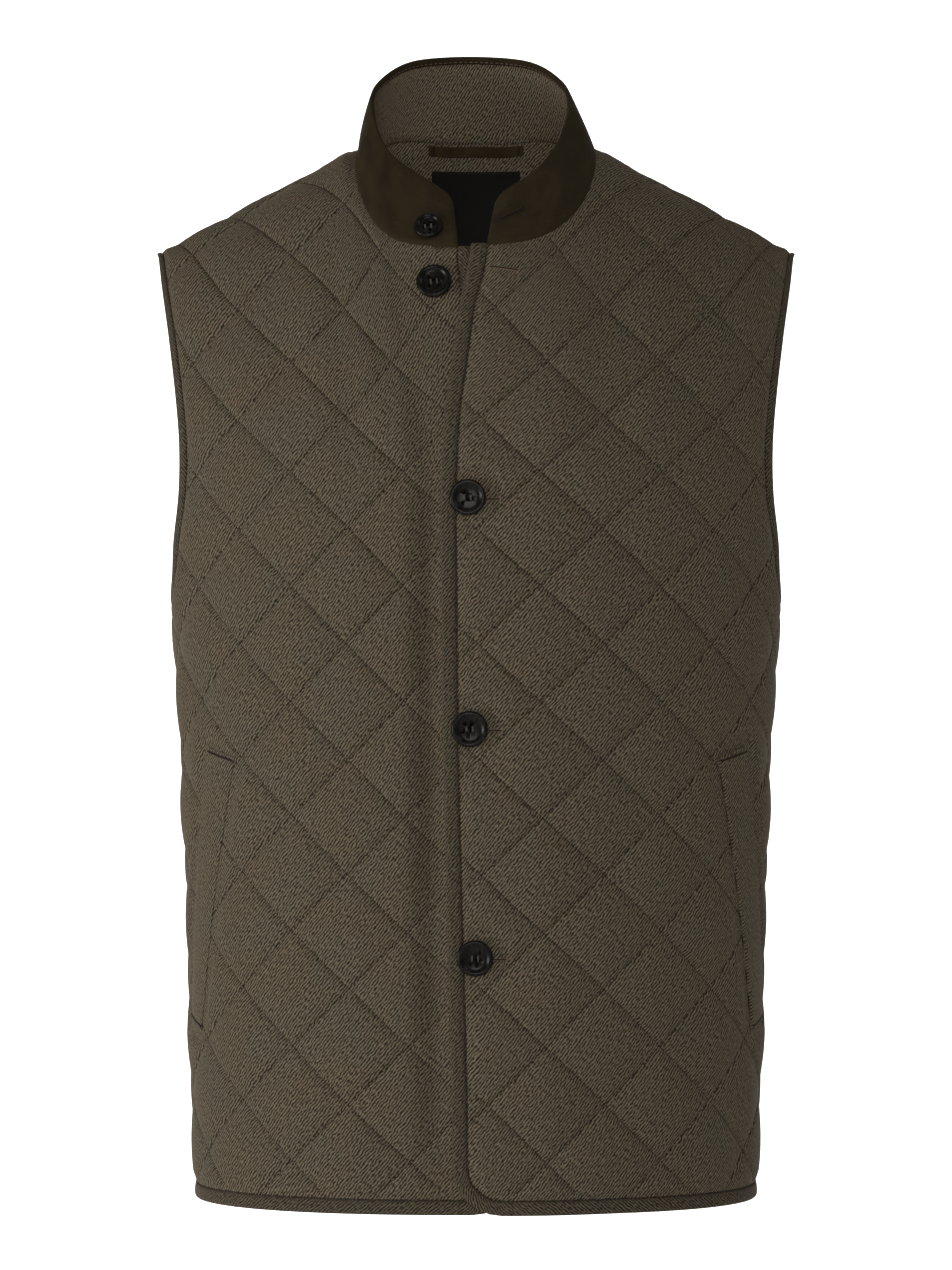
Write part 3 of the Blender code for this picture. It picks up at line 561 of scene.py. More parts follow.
PANEL_INSET = {"hem": FRONT_BINDING + SEAM_GAP, "front": FRONT_BINDING + SEAM_GAP, "side": -SEAM_LAP,
               "armhole": ARMHOLE_BINDING + SEAM_GAP, "shoulder": SEAM_GAP, "neck": SEAM_GAP}
SEAM_INSET = {"side": -SEAM_LAP, "shoulder": 0.0, "neck": SEAM_GAP}


# Quilting


def line_distance(points, starts, ends):
    """Distance of points from the nearest of some straight stretches."""
    best = np.full(len(points), np.inf)
    for start, end in zip(starts, ends):
        line = end - start
        part = np.clip((points - start) @ line / (line @ line), 0.0, 1.0)
        best = np.minimum(best, np.linalg.norm(points - start - part[:, None] * line, axis=1))
    return best


def edge_distance(points, loop):
    """Distance of points from a closed line."""
    return line_distance(points, loop, np.roll(loop, -1, axis=0))


def trimmed_inset(outline, distance):
    """Inset outline without the points that the next edge's inset has passed, and the kinds that are left."""
    points, kinds = outline
    moved = inset_outline(outline, distance)
    kinds = np.array(kinds)
    before = np.roll(kinds, 1)
    following = np.roll(points, -1, axis=0)
    keep = np.ones(len(points), dtype=bool)
    for kind, amount in distance.items():
        edge = kinds == kind
        others = (kinds != kind) & (before != kind)
        away = line_distance(moved[others], points[edge], following[edge])
        keep[np.nonzero(others)[0][away < amount]] = False
    return moved[keep], kinds[keep]


def inside(points, loop):
    """Which points lie inside a closed line."""
    result = np.zeros(len(points), dtype=bool)
    for start, end in zip(loop, np.roll(loop, -1, axis=0)):
        if start[1] == end[1]:
            continue
        crosses = (start[1] > points[:, 1]) != (end[1] > points[:, 1])
        at = start[0] + (points[:, 1] - start[1]) / (end[1] - start[1]) * (end[0] - start[0])
        result ^= crosses & (points[:, 0] < at)
    return result



# Properties


def linear(hex_text):
    """Linear colour of an sRGB hex value."""
    values = [int(hex_text[place:place + 2], 16) / 255 for place in (1, 3, 5)]
    return tuple(value / 12.92 if value < 0.04045 else ((value + 0.055) / 1.055) ** 2.4
                 for value in values)


class VestSizes(bpy.types.PropertyGroup):
    """Sizes of the quilting and the sewing."""

    puff: FloatProperty(name="Quilting", description="Height of the quilted squares",
                        default=0.0031, unit="LENGTH")
    pucker: FloatProperty(name="Puckers", description="Height of the puckers beside the sewn lines",
                          default=0.00022, unit="LENGTH")
    quilt_pitch: FloatProperty(name="Quilting pitch", description="Length of one quilting stitch and its gap",
                               default=0.0030, unit="LENGTH")
    seam_pitch: FloatProperty(name="Seam pitch", description="Length of one seam stitch and its gap",
                              default=0.0027, unit="LENGTH")
    collar_pitch: FloatProperty(name="Collar pitch", description="Length of one collar stitch and its gap",
                                default=0.0034, unit="LENGTH")
    stitch_share: FloatProperty(name="Stitch share", description="Share of the pitch that the thread shows",
                                default=0.70, subtype="FACTOR")
    thread: FloatProperty(name="Thread", description="Radius of the sewing thread",
                          default=0.00036, unit="LENGTH")
    twist: FloatProperty(name="Buttonhole thread", description="Radius of the buttonhole twist",
                         default=0.00026, unit="LENGTH")
    seed: IntProperty(name="Seed", description="Seed of the small differences between stitches", default=7)


class VestColours(bpy.types.PropertyGroup):
    """Colours of the cloth, the thread, the buttons and the stage."""

    wool_dark: FloatVectorProperty(name="Wool, dark yarn", description="Darker yarn of the twill",
                                   default=linear("#1b1710"), subtype="COLOR")
    wool_light: FloatVectorProperty(name="Wool, light yarn", description="Lighter yarn of the twill",
                                    default=linear("#574c3d"), subtype="COLOR")
    wool_green: FloatVectorProperty(name="Wool, green yarn", description="Greener of the lighter yarns",
                                    default=linear("#544d3f"), subtype="COLOR")
    suede: FloatVectorProperty(name="Collar", description="Brushed cloth of the collar and the loop",
                               default=linear("#1a1409"), subtype="COLOR")
    suede_light: FloatVectorProperty(name="Collar nap", description="Raised nap of the brushed cloth",
                                     default=linear("#261f10"), subtype="COLOR")
    label: FloatVectorProperty(name="Label", description="Woven satin of the label",
                               default=linear("#11110f"), subtype="COLOR")
    horn: FloatVectorProperty(name="Buttons", description="Polished horn",
                              default=linear("#0b0a08"), subtype="COLOR")
    horn_light: FloatVectorProperty(name="Button streaks", description="Paler streaks in the horn",
                                    default=linear("#191713"), subtype="COLOR")
    thread: FloatVectorProperty(name="Thread", description="Sewing thread",
                                default=linear("#150e09"), subtype="COLOR")
    twist: FloatVectorProperty(name="Buttonhole thread", description="Thread of the buttonholes",
                               default=linear("#4d3d33"), subtype="COLOR")
    button_thread: FloatVectorProperty(name="Button thread", description="Thread that holds the buttons",
                                       default=linear("#3a3834"), subtype="COLOR")
    floor: FloatVectorProperty(name="Floor", description="Pale floor and backdrop",
                               default=linear("#f7f7f5"), subtype="COLOR")


# Materials


def add_node(tree, kind, inputs=None, **settings):
    """Adds a node with its settings; an input is a value, or the socket that is linked to it."""
    node = tree.nodes.new(kind)
    for name, value in settings.items():
        setattr(node, name, value)
    for key, value in (inputs or {}).items():
        if isinstance(value, bpy.types.NodeSocket):
            tree.links.new(value, node.inputs[key])
        else:
            node.inputs[key].default_value = value
    return node


def new_material(name, sockets):
    """Material, its tree, and the sockets of its Principled shader, some of them set."""
    finish = bpy.data.materials.new(name)
    finish.use_nodes = True
    shader = finish.node_tree.nodes["Principled BSDF"].inputs
    for socket, value in sockets.items():
        shader[socket].default_value = value
    return finish, finish.node_tree, shader


def colour(value):
    """Colour with its alpha."""
    return (*value, 1.0)


WALE = 0.00168
TWILL_TURN = math.radians(-38)
BIAS_TURN = math.radians(-50)
BIAS_TONE = 0.70
# Paler tone of the twill on insides: painted light for the shade there.
INSIDE_PAINTED_LIGHT = 1.45
# Paler tone of the hanger loop's cloth: painted light for the shade inside the neck.
LOOP_PAINTED_LIGHT = 1.7
YARN_SIZE = (0.00105, 0.0023)
CLOUD_SIZE = 0.034
NAP_SIZE = 0.0016
STROKE_SIZE = 0.022
RIB = 0.0012
SLUB_SIZE = 0.0024
HORN_GRAIN = (0.0016, 0.009, 0.006)
PLY_SIZE = 0.0022


def scaled(value, tone):
    """Colour made darker or lighter, with its alpha."""
    return colour([channel * tone for channel in value])


def cloth_noise(tree, place, size, detail, roughness):
    """Noise on the cloth, with features of one size."""
    inputs = {"Vector": place, "Scale": 1 / size, "Detail": detail, "Roughness": roughness}
    return add_node(tree, "ShaderNodeTexNoise", inputs, noise_dimensions="2D").outputs["Fac"]


def bands(tree, place, pitch, direction, inputs):
    """Even bands across a direction."""
    return add_node(tree, "ShaderNodeTexWave", {"Vector": place, "Scale": 2 * math.pi / 20 / pitch, **inputs},
                    wave_type="BANDS", bands_direction=direction, wave_profile="SIN").outputs["Fac"]


def mingled(tree, share, first, second):
    """Two patterns in one."""
    inputs = {"Factor": share, 2: first, 3: second}
    return add_node(tree, "ShaderNodeMix", inputs, data_type="FLOAT").outputs[0]


def blended(tree, share, first, second):
    """Colour between two."""
    inputs = {"Factor": share, 6: first, 7: second}
    return add_node(tree, "ShaderNodeMix", inputs, data_type="RGBA").outputs[2]


def spread(tree, value, low, high):
    """Pattern stretched so that low becomes 0 and high becomes 1."""
    return add_node(tree, "ShaderNodeMapRange",
                    {"Value": value, "From Min": low, "From Max": high}).outputs["Result"]


def emboss(tree, shader, height, strength, distance):
    """Bump of a pattern."""
    bump = add_node(tree, "ShaderNodeBump", {"Strength": strength, "Distance": distance, "Height": height})
    tree.links.new(bump.outputs["Normal"], shader["Normal"])


def wool_twill(name, turn, tone):
    """Brown wool twill of two yarns, milled: dull, a little hairy, with a soft bloom at grazing angles.

    The paler yarn leans from green to brown in soft clouds, and tone darkens or lightens a cloth as a whole,
    which on the insides is painted light.
    """
    colours = bpy.context.scene.vest_colours
    finish, tree, shader = new_material(name, {
        "Roughness": 0.92, "IOR": 1.45, "Specular IOR Level": 0.14, "Sheen Weight": 0.14,
        "Sheen Roughness": 0.45, "Sheen Tint": colour(linear("#a3937c"))})
    cloth = add_node(tree, "ShaderNodeUVMap", uv_map="pattern").outputs["UV"]
    turned = add_node(tree, "ShaderNodeMapping",
                      {"Vector": cloth, "Rotation": (0, 0, turn)}).outputs["Vector"]
    wales = bands(tree, turned, WALE, "X", {"Distortion": 4.0, "Detail": 1.0, "Detail Scale": 1.1,
                                            "Detail Roughness": 0.5})
    yarn_lie = add_node(tree, "ShaderNodeMapping", {
        "Vector": turned, "Scale": (1 / YARN_SIZE[0], 1 / YARN_SIZE[1], 1)}).outputs["Vector"]
    yarn = cloth_noise(tree, yarn_lie, 1.0, 1.0, 0.40)
    cloud = cloth_noise(tree, cloth, CLOUD_SIZE, 3.0, 0.55)
    woven = mingled(tree, 0.64, wales, yarn)
    pale = blended(tree, spread(tree, cloud, 0.36, 0.64), scaled(colours.wool_green, tone),
                   scaled(colours.wool_light, tone))
    mixed = blended(tree, spread(tree, woven, 0.36, 0.64), scaled(colours.wool_dark, tone), pale)
    tree.links.new(mixed, shader["Base Color"])
    emboss(tree, shader, woven, 0.45, 0.00025)
    return finish


def brushed_cloth(name, tone):
    """Dark cloth with a short brushed nap, like suede: no weave shows, and the nap catches light unevenly."""
    colours = bpy.context.scene.vest_colours
    finish, tree, shader = new_material(name, {
        "Roughness": 0.88, "IOR": 1.45, "Specular IOR Level": 0.12, "Sheen Weight": 0.12,
        "Sheen Roughness": 0.35, "Sheen Tint": colour(linear("#6f5c40"))})
    cloth = add_node(tree, "ShaderNodeUVMap", uv_map="pattern").outputs["UV"]
    nap = cloth_noise(tree, cloth, NAP_SIZE, 4.0, 0.7)
    brushed = mingled(tree, 0.55, nap, cloth_noise(tree, cloth, STROKE_SIZE, 2.0, 0.5))
    mixed = blended(tree, spread(tree, brushed, 0.32, 0.68), scaled(colours.suede, tone),
                    scaled(colours.suede_light, tone))
    tree.links.new(mixed, shader["Base Color"])
    emboss(tree, shader, nap, 0.35, 0.0002)
    return finish


def label_satin(name):
    """Black woven satin: fine ribs across it and a dull gloss."""
    colours = bpy.context.scene.vest_colours
    finish, tree, shader = new_material(name, {"Roughness": 0.60, "IOR": 1.5, "Specular IOR Level": 0.10})
    cloth = add_node(tree, "ShaderNodeUVMap", uv_map="pattern").outputs["UV"]
    ribs = bands(tree, cloth, RIB, "Y", {"Distortion": 1.0, "Detail": 1.0})
    woven = mingled(tree, 0.5, ribs, cloth_noise(tree, cloth, SLUB_SIZE, 3.0, 0.5))
    mixed = blended(tree, woven, colour(linear("#0d0c0a")), colour(colours.label))
    tree.links.new(mixed, shader["Base Color"])
    emboss(tree, shader, woven, 0.4, 0.0001)
    return finish


def polished_horn(name):
    """Turned and polished dark horn: near black with faint grain, and a clear gloss on its rim."""
    colours = bpy.context.scene.vest_colours
    finish, tree, shader = new_material(name, {"IOR": 1.55, "Specular IOR Level": 0.06})
    solid = add_node(tree, "ShaderNodeTexCoord").outputs["Object"]
    lie = add_node(tree, "ShaderNodeMapping", {
        "Vector": solid, "Scale": tuple(1 / size for size in HORN_GRAIN), "Rotation": (0.2, 0.3, 0.5)})
    grain = add_node(tree, "ShaderNodeTexNoise", {
        "Vector": lie.outputs["Vector"], "Scale": 1.0, "Detail": 3.0, "Distortion": 0.4}).outputs["Fac"]
    mixed = blended(tree, spread(tree, grain, 0.45, 0.80), colour(colours.horn), colour(colours.horn_light))
    tree.links.new(mixed, shader["Base Color"])
    gloss = add_node(tree, "ShaderNodeMapRange", {"Value": grain, "To Min": 0.20, "To Max": 0.32})
    tree.links.new(gloss.outputs["Result"], shader["Roughness"])
    return finish


def spun_thread(name, base):
    """Twisted polyester thread: a dull gloss, and a tone that varies along it."""
    finish, tree, shader = new_material(name, {
        "Roughness": 0.80, "IOR": 1.5, "Specular IOR Level": 0.08, "Sheen Weight": 0.02})
    solid = add_node(tree, "ShaderNodeTexCoord").outputs["Object"]
    tone = add_node(tree, "ShaderNodeTexNoise", {"Vector": solid, "Scale": 1 / PLY_SIZE, "Detail": 2.0})
    lighter = [min(1.0, value * 1.7 + 0.004) for value in base]
    mixed = blended(tree, tone.outputs["Fac"], colour(base), colour(lighter))
    tree.links.new(mixed, shader["Base Color"])
    return finish


def seamless_paper(name):
    """Matt white backdrop paper, with a glow of its own until it hardly shows."""
    colours = bpy.context.scene.vest_colours
    finish, tree, shader = new_material(name, {
        "Roughness": 0.95, "Specular IOR Level": 0.0, "Emission Color": colour(linear("#fffffd")),
        "Emission Strength": 0.25})
    solid = add_node(tree, "ShaderNodeTexCoord").outputs["Object"]
    tooth = add_node(tree, "ShaderNodeTexNoise", {"Vector": solid, "Scale": 3.0, "Detail": 3.0})
    mixed = blended(tree, tooth.outputs["Fac"], colour(colours.floor), scaled(colours.floor, 0.985))
    tree.links.new(mixed, shader["Base Color"])
    return finish


# Meshes


def add_piece(name, points, faces, corner_uv, finish, smooth=True):
    """Object with its faces turned outwards, its cloth coordinates and one material."""
    mesh = bpy.data.meshes.new(name)
    mesh.from_pydata([tuple(point) for point in np.asarray(points, dtype=float).tolist()], [], faces)
    if corner_uv is not None:
        layer = mesh.uv_layers.new(name="pattern")
        layer.data.foreach_set("uv", np.asarray(corner_uv, dtype=np.float32).ravel())
    form = bmesh.new()
    form.from_mesh(mesh)
    bmesh.ops.recalc_face_normals(form, faces=form.faces)
    form.to_mesh(mesh)
    form.free()
    mesh.shade_smooth() if smooth else mesh.shade_flat()
    mesh.materials.append(finish)
    piece = bpy.data.objects.new(name, mesh)
    bpy.context.scene.collection.objects.link(piece)
    return piece


def settle(piece, slot_name, *nodes):
    """Puts a finished piece on the vest and hides the solids that it stands for; slot_name is not used."""
    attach(piece, BODY_NAME)
    if nodes:
        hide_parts(*nodes)
    return piece


def sweep(name, sections, along, across, closed, finish):
    """Strip through a row of like closed sections, capped at its ends unless it is a ring."""
    rows, width = len(sections), len(sections[0])
    points = np.vstack(sections)
    faces, corner_uv = [], []
    for row in range(rows if closed else rows - 1):
        ahead = (row + 1) % rows
        for index in range(width):
            beside = (index + 1) % width
            faces.append((row * width + index, row * width + beside,
                          ahead * width + beside, ahead * width + index))
            u, v = (along[row], along[row + 1]), (across[index], across[index + 1])
            corner_uv += [(u[0], v[0]), (u[0], v[1]), (u[1], v[1]), (u[1], v[0])]
    if not closed:
        for start, end in ((0, along[0]), ((rows - 1) * width, along[rows - 1])):
            faces.append(tuple(start + index for index in range(width)))
            corner_uv += [(end, across[index]) for index in range(width)]
    return add_piece(name, points, faces, corner_uv, finish)


def lengths(points, closed):
    """Length along a line of points, up to each of them and, on a ring, back to the first."""
    points = np.asarray(points)
    if closed:
        points = np.vstack([points, points[:1]])
    return np.append(0.0, np.cumsum(np.linalg.norm(np.diff(points, axis=0), axis=1)))


def weave(cut, flat):
    """Places of pattern points in the weave, whose wales lean the same way on both fronts."""
    return flat * ((-1.0, 1.0) if cut is FRONT_LEFT else (1.0, 1.0))


# Quilted panels

RANDOM = np.random.default_rng(11)
FILLS = RANDOM.uniform(-1.0, 1.0, size=(37, 41))
PHASES = RANDOM.uniform(0.0, 2 * math.pi, size=61)
SQUARE_SIDE = math.hypot(LATTICE_WIDTH, LATTICE_HEIGHT) / 2
FILL_SPREAD = 0.16
WANDER = 0.0005
NEEDLE_DEPTH = 0.00060
NEEDLE_WIDTH = 0.0011
PUCKER_PITCH = 0.0088
PUCKER_REACH = 0.0065
LATTICE_PLACES = (0.0, 0.016, 0.045, 0.09, 0.14, 0.195, 0.255, 0.315, 0.375, 0.4375, 0.5,
                  0.5625, 0.625, 0.685, 0.745, 0.805, 0.86, 0.91, 0.955, 0.984)
EDGE_ROWS = (0.0005, 0.0012, 0.0026)
EDGE_ROLL = 0.0016
EDGE_KEEP = 0.50
INNER_PLACES = (0.0, 0.25, 0.5, 0.75)


class Quilt:
    """Quilted panel: its pattern, and the height of its outside over the body form."""

    def __init__(self, name, cut, outline, lattice, loops, spots, folds):
        self.name = name
        self.cut = cut
        self.outline = outline
        self.lattice = lattice
        self.loops = loops
        self.spots = spots
        self.folds = folds
        self.boundary = trimmed_inset(outline, PANEL_INSET)[0]
        self.box = self.boundary.min(axis=0), self.boundary.max(axis=0)

    def place(self, across, down):
        """Pattern points of places on the lattice, whose sewn lines wander a little."""
        s = self.lattice[0] + (across + down) * LATTICE_WIDTH / 2
        t = self.lattice[1] + (across - down) * LATTICE_HEIGHT / 2
        return np.stack([s + WANDER * np.sin(t / 0.023 + s / 0.051),
                         t + WANDER * np.sin(s / 0.027 - t / 0.043)], axis=1)

    def lattice_at(self, flat):
        """Place on the lattice of pattern points."""
        s = (flat[:, 0] - self.lattice[0]) / LATTICE_WIDTH
        t = (flat[:, 1] - self.lattice[1]) / LATTICE_HEIGHT
        return s + t, s - t

    def grid(self, places):
        """All lattice places in the panel's box."""
        low, high = self.box
        count = math.ceil((high[1] - low[1]) / LATTICE_HEIGHT + (high[0] - low[0]) / LATTICE_WIDTH)
        values = (np.arange(-count, count)[:, None] + np.array(places)).ravel()
        across, down = (axis.ravel() for axis in np.meshgrid(values, values))
        flat = self.place(across, down)
        keep = ((flat > low) & (flat < high)).all(axis=1)
        return flat[keep], across[keep], down[keep]

    def flatness(self, flat, margin):
        """1 on free quilting, falling to 0 at edges, under welts and buttons and under the overlap."""
        share = fade(margin, 0.0, PUFF_FADE)
        for loop in self.loops:
            away = np.where(inside(flat, loop), 0.0, edge_distance(flat, loop))
            share *= fade(away, WELT_FLAT, WELT_FLAT + PUFF_FADE)
        for spot in self.spots:
            share *= fade(np.linalg.norm(flat - spot, axis=1), BUTTON_FLAT, BUTTON_FLAT + PUFF_FADE)
        if self.cut is FRONT_RIGHT:
            share *= fade(flat[:, 0], UNDERLAP_FLAT, UNDERLAP_FLAT + 2 * PUFF_FADE)
        return share

    def fold_height(self, flat):
        """Soft folds, listed one by one, as ridges and troughs that die out at their ends."""
        total = np.zeros(len(flat))
        for start_s, start_t, end_s, end_t, width, height in self.folds:
            start = np.array([start_s, start_t])
            line = np.array([end_s, end_t]) - start
            share = np.clip((flat - start) @ line / (line @ line), 0.0, 1.0)
            away = np.linalg.norm(flat - start - share[:, None] * line, axis=1)
            total += height * np.exp(-(away / width) ** 2) * np.sin(math.pi * share) ** 0.8
        return total

    def height(self, flat, across, down):
        """Height of the outside over the body form."""
        sizes = bpy.context.scene.vest_sizes
        puff = np.abs(np.sin(math.pi * across) * np.sin(math.pi * down)) ** PUFF_POWER
        row, column = np.floor(across).astype(int), np.floor(down).astype(int)
        fill = 1.0 + FILL_SPREAD * FILLS[row % len(FILLS), column % len(FILLS[0])]
        pucker = np.zeros(len(flat))
        needle = np.zeros(len(flat))
        for line, along, shift in ((across, down, 0), (down, across, 29)):
            nearest = np.round(line).astype(int)
            away = np.abs(line - nearest) * SQUARE_SIDE
            turn = 2 * math.pi * along * SQUARE_SIDE / PUCKER_PITCH + PHASES[(nearest + shift) % len(PHASES)]
            wave = np.sin(turn + 1.7 * np.sin(along * 4.3 + nearest)) * np.sin(along * 2.9 + 2.0 * nearest)
            pucker += wave * np.exp(-away / PUCKER_REACH) * (1.0 - np.exp(-away / 0.0012))
            needle = np.maximum(needle, np.exp(-(away / NEEDLE_WIDTH) ** 2))
        margin = edge_distance(flat, self.boundary)
        edge = np.clip(margin / EDGE_ROLL, 0.0, 1.0)
        rolled = EDGE_KEEP + (1.0 - EDGE_KEEP) * np.sqrt(1.0 - (1.0 - edge) ** 2)
        flatness = self.flatness(flat, margin)
        raised = sizes.puff * puff * fill + sizes.pucker * pucker
        return WALL * rolled + flatness * raised + (self.fold_height(flat) - NEEDLE_DEPTH * needle) * edge

    def surface(self, flat, height):
        """Points at a height over the body form."""
        s, t = flat.T
        return self.cut.point(s, t) + self.cut.normal(s, t) * (self.cut.lift(s) + height)[:, None]

    def outside(self, flat):
        """Points on the outside of the panel."""
        return self.surface(flat, self.height(flat, *self.lattice_at(flat)))

    def triangles(self, points, margin):
        """Points and triangles over the pattern, with its boundary first."""
        keep = inside(points, self.boundary)
        keep[keep] = edge_distance(points[keep], self.boundary) > margin
        rows = []
        if margin < PUFF_FADE / 2:
            rows = [trimmed_inset(self.outline, {kind: value + row for kind, value in PANEL_INSET.items()})[0]
                    for row in EDGE_ROWS]
        flat = np.vstack([self.boundary] + rows + [points[keep]])
        face = list(range(len(self.boundary)))
        found = delaunay_2d_cdt([Vector(point) for point in flat.tolist()], [], [face], 1, 1e-7)
        origin = [old[0] if old else None for old in found[3]]
        return flat, keep, [tuple(origin[corner] for corner in triangle) for triangle in found[2]]

    def build(self, finish, painted_light_finish):
        """Mesh of the panel: a quilted outside, a plain inside and the rim that joins them."""
        rim = len(self.boundary)
        grid, across, down = self.grid(LATTICE_PLACES)
        outer, keep, outer_faces = self.triangles(grid, EDGE_ROWS[-1] + 0.0014)
        plain = len(outer) - int(keep.sum())
        edge_across, edge_down = self.lattice_at(outer[:plain])
        height = self.height(outer, np.append(edge_across, across[keep]), np.append(edge_down, down[keep]))
        inner_grid = self.grid(INNER_PLACES)[0]
        inner, _, inner_faces = self.triangles(inner_grid, 0.0075)
        inner_height = self.fold_height(inner) * fade(edge_distance(inner, self.boundary), 0.0, EDGE_ROLL)
        points = np.vstack([self.surface(outer, height), self.surface(inner, inner_height)])
        start = len(outer)
        faces = list(outer_faces)
        faces += [tuple(corner + start for corner in face[::-1]) for face in inner_faces]
        faces += [(index, index + start, (index + 1) % rim + start, (index + 1) % rim)
                  for index in range(rim)]
        woven = weave(self.cut, np.vstack([outer, inner * (-1.0, 1.0)]))
        corners = np.array([corner for face in faces for corner in face])
        corners[-4 * rim:] %= start
        piece = add_piece("quilted_" + self.name, points, faces, woven[corners], finish)
        # Inside faces take the paler twill: painted light.
        piece.data.materials.append(painted_light_finish)
        sides = np.repeat((0, 1, 0), (len(outer_faces), len(inner_faces), rim))
        piece.data.polygons.foreach_set("material_index", sides.astype(np.int32))
        return piece


# Trims

BINDING_PROFILE = (
    # across, height, as shares of the strip's width and thickness
    (1.00, 0.00),
    (0.60, 0.00),
    (0.14, 0.00),
    (0.04, 0.10),
    (0.00, 0.38),
    (0.02, 0.62),
    (0.08, 0.84),
    (0.18, 0.96),
    (0.33, 1.00),
    (0.50, 1.00),
    (0.66, 0.97),
    (0.80, 0.90),
    (0.92, 0.78),
    (1.00, 0.52),
)


def binding_path(outline, kinds, width):
    """Outer and inner edge of a bias strip along the edges of the given kinds, in outline order."""
    edge = inset_outline(outline, SEAM_INSET)
    inner_edge = inset_outline(outline, {**SEAM_INSET, **{kind: width for kind in kinds}})
    points, kinds_at = outline
    bound = np.array([kind in kinds for kind in kinds_at])
    station = bound | np.roll(bound, 1)
    first = next(index for index in range(len(points)) if bound[index] and not bound[index - 1])
    order = [(first + index) % len(points) for index in range(len(points))]
    order = [index for index in order if station[index]]
    return edge[order], inner_edge[order]


def binding_sections(cut, edge, inner_edge):
    """Sections of a folded strip: rounded at the edge, thinner where it is sewn down."""
    across = np.array([row[0] for row in BINDING_PROFILE])
    height = np.array([row[1] for row in BINDING_PROFILE]) * BINDING_THICK
    flat = edge[:, None, :] + across[None, :, None] * (inner_edge - edge)[:, None, :]
    s, t = flat.reshape(-1, 2).T
    lift = cut.lift(s) + np.tile(height, len(edge))
    points = cut.point(s, t) + cut.normal(s, t) * lift[:, None]
    return list(points.reshape(len(edge), len(across), 3))


def add_binding(edge_name, sections, closed, finish):
    """Bias strip through its sections."""
    along = lengths([section[4] for section in sections], closed)
    across = lengths(sections[len(sections) // 3], True)
    piece = sweep("bias_" + edge_name, sections, along, across, closed, finish)
    settle(piece, "binding", "binding_" + edge_name)
    return piece


def right_half(outline):
    """Outline with only its right armhole kept as an armhole."""
    points, kinds = outline
    kept = ["other" if kind == "armhole" and point[0] < 0 else kind for point, kind in zip(points, kinds)]
    return points, kept


def armhole_sections(front, outline):
    """Ring of sections round an armhole: the front's edge, then the back's."""
    before = binding_sections(front, *binding_path(outline, {"armhole"}, ARMHOLE_BINDING))
    behind = binding_sections(BACK, *binding_path(right_half(BACK_OUTLINE), {"armhole"}, ARMHOLE_BINDING))
    behind = [section * (front.side, 1, 1) for section in behind]
    return before + behind[::-1][1:-1]


# Collar

COLLAR_FOLDS = (
    # place round the collar as a share, width, height
    (0.045, 0.020, -0.0010),
    (0.125, 0.016, 0.0012),
    (0.190, 0.014, -0.0009),
    (0.330, 0.030, 0.0006),
    (0.640, 0.035, -0.0006),
    (0.815, 0.015, -0.0010),
    (0.885, 0.018, 0.0013),
    (0.955, 0.022, -0.0012),
)


def collar_stations():
    """Base and top of the collar at each station, from the right front round to the left."""
    rows = []
    for cut, side, run, flip in ((FRONT_RIGHT, "right", front_neck_run(FRONT_RIGHT), True),
                                 (BACK, "right", back_neck_run() * (-1, 1), False),
                                 (BACK, "left", back_neck_run(), True),
                                 (FRONT_LEFT, "left", front_neck_run(FRONT_LEFT), False)):
        s, t = run.T
        normal = cut.normal(s, t)
        straight = cut.lay(s, t)
        base = cut.point(s, t) + normal * (cut.lift(s) + WALL)[:, None]
        turn = np.arctan2(straight[:, 0] / NECK_X, (RIDGE_Y - straight[:, 1]) / NECK_BACK)
        drawn = base[:, 0] - straight[:, 0] - WALL * normal[:, 0]
        turn += COLLAR_DRAW[side] * drawn / (COLLAR_TOP_X * np.maximum(np.cos(turn), 0.35))
        shift = COLLAR_TOP_SHIFT * (1.0 - fade(np.cos(turn), 0.55, 1.0))
        top_x = COLLAR_TOP_X * np.sin(turn) + shift
        top_y = COLLAR_TOP_Y - COLLAR_TOP_DEPTH * np.cos(turn)
        top_z = curve(COLLAR_TOP, top_y, 1)
        if cut is not BACK:
            top_z -= COLLAR_CORNER * (1.0 - fade(s, s.min(), s.min() + CORNER_REACH))
        top_y += cut.lift(s) * normal[:, 1]
        part = np.stack([base, np.stack([top_x, top_y, top_z], axis=1)], axis=1)
        part = part[::-1] if flip else part
        rows.append(part if not rows else part[1:])
    return np.vstack(rows)


def collar_frames():
    """Foot, up, outward direction and height of the collar at even stations."""
    rows = collar_stations()
    length = lengths(rows.mean(axis=1), False)
    even = np.linspace(0.0, length[-1], COLLAR_COUNT)
    stations = np.stack([np.interp(even, length, rows[:, end, axis])
                         for end in range(2) for axis in range(3)], axis=1)
    for _ in range(COLLAR_SMOOTHING):
        stations[1:-1] = (stations[:-2] + 2 * stations[1:-1] + stations[2:]) / 4
    base, top = stations[:, :3], stations[:, 3:]
    height = np.linalg.norm(top - base, axis=1)
    up = (top - base) / height[:, None]
    outward = np.cross(up, np.gradient(base + top, axis=0))
    outward /= np.linalg.norm(outward, axis=1, keepdims=True)
    foot = base - up * COLLAR_SINK
    along = lengths(foot, False)
    to_end = np.clip(np.minimum(along, along[-1] - along) / COLLAR_RADIUS, 0.0, 1.0)
    corner = COLLAR_RADIUS * (1.0 - np.sqrt(1.0 - (1.0 - to_end) ** 2)) * 0.7
    return foot, up, outward, height + COLLAR_SINK - corner


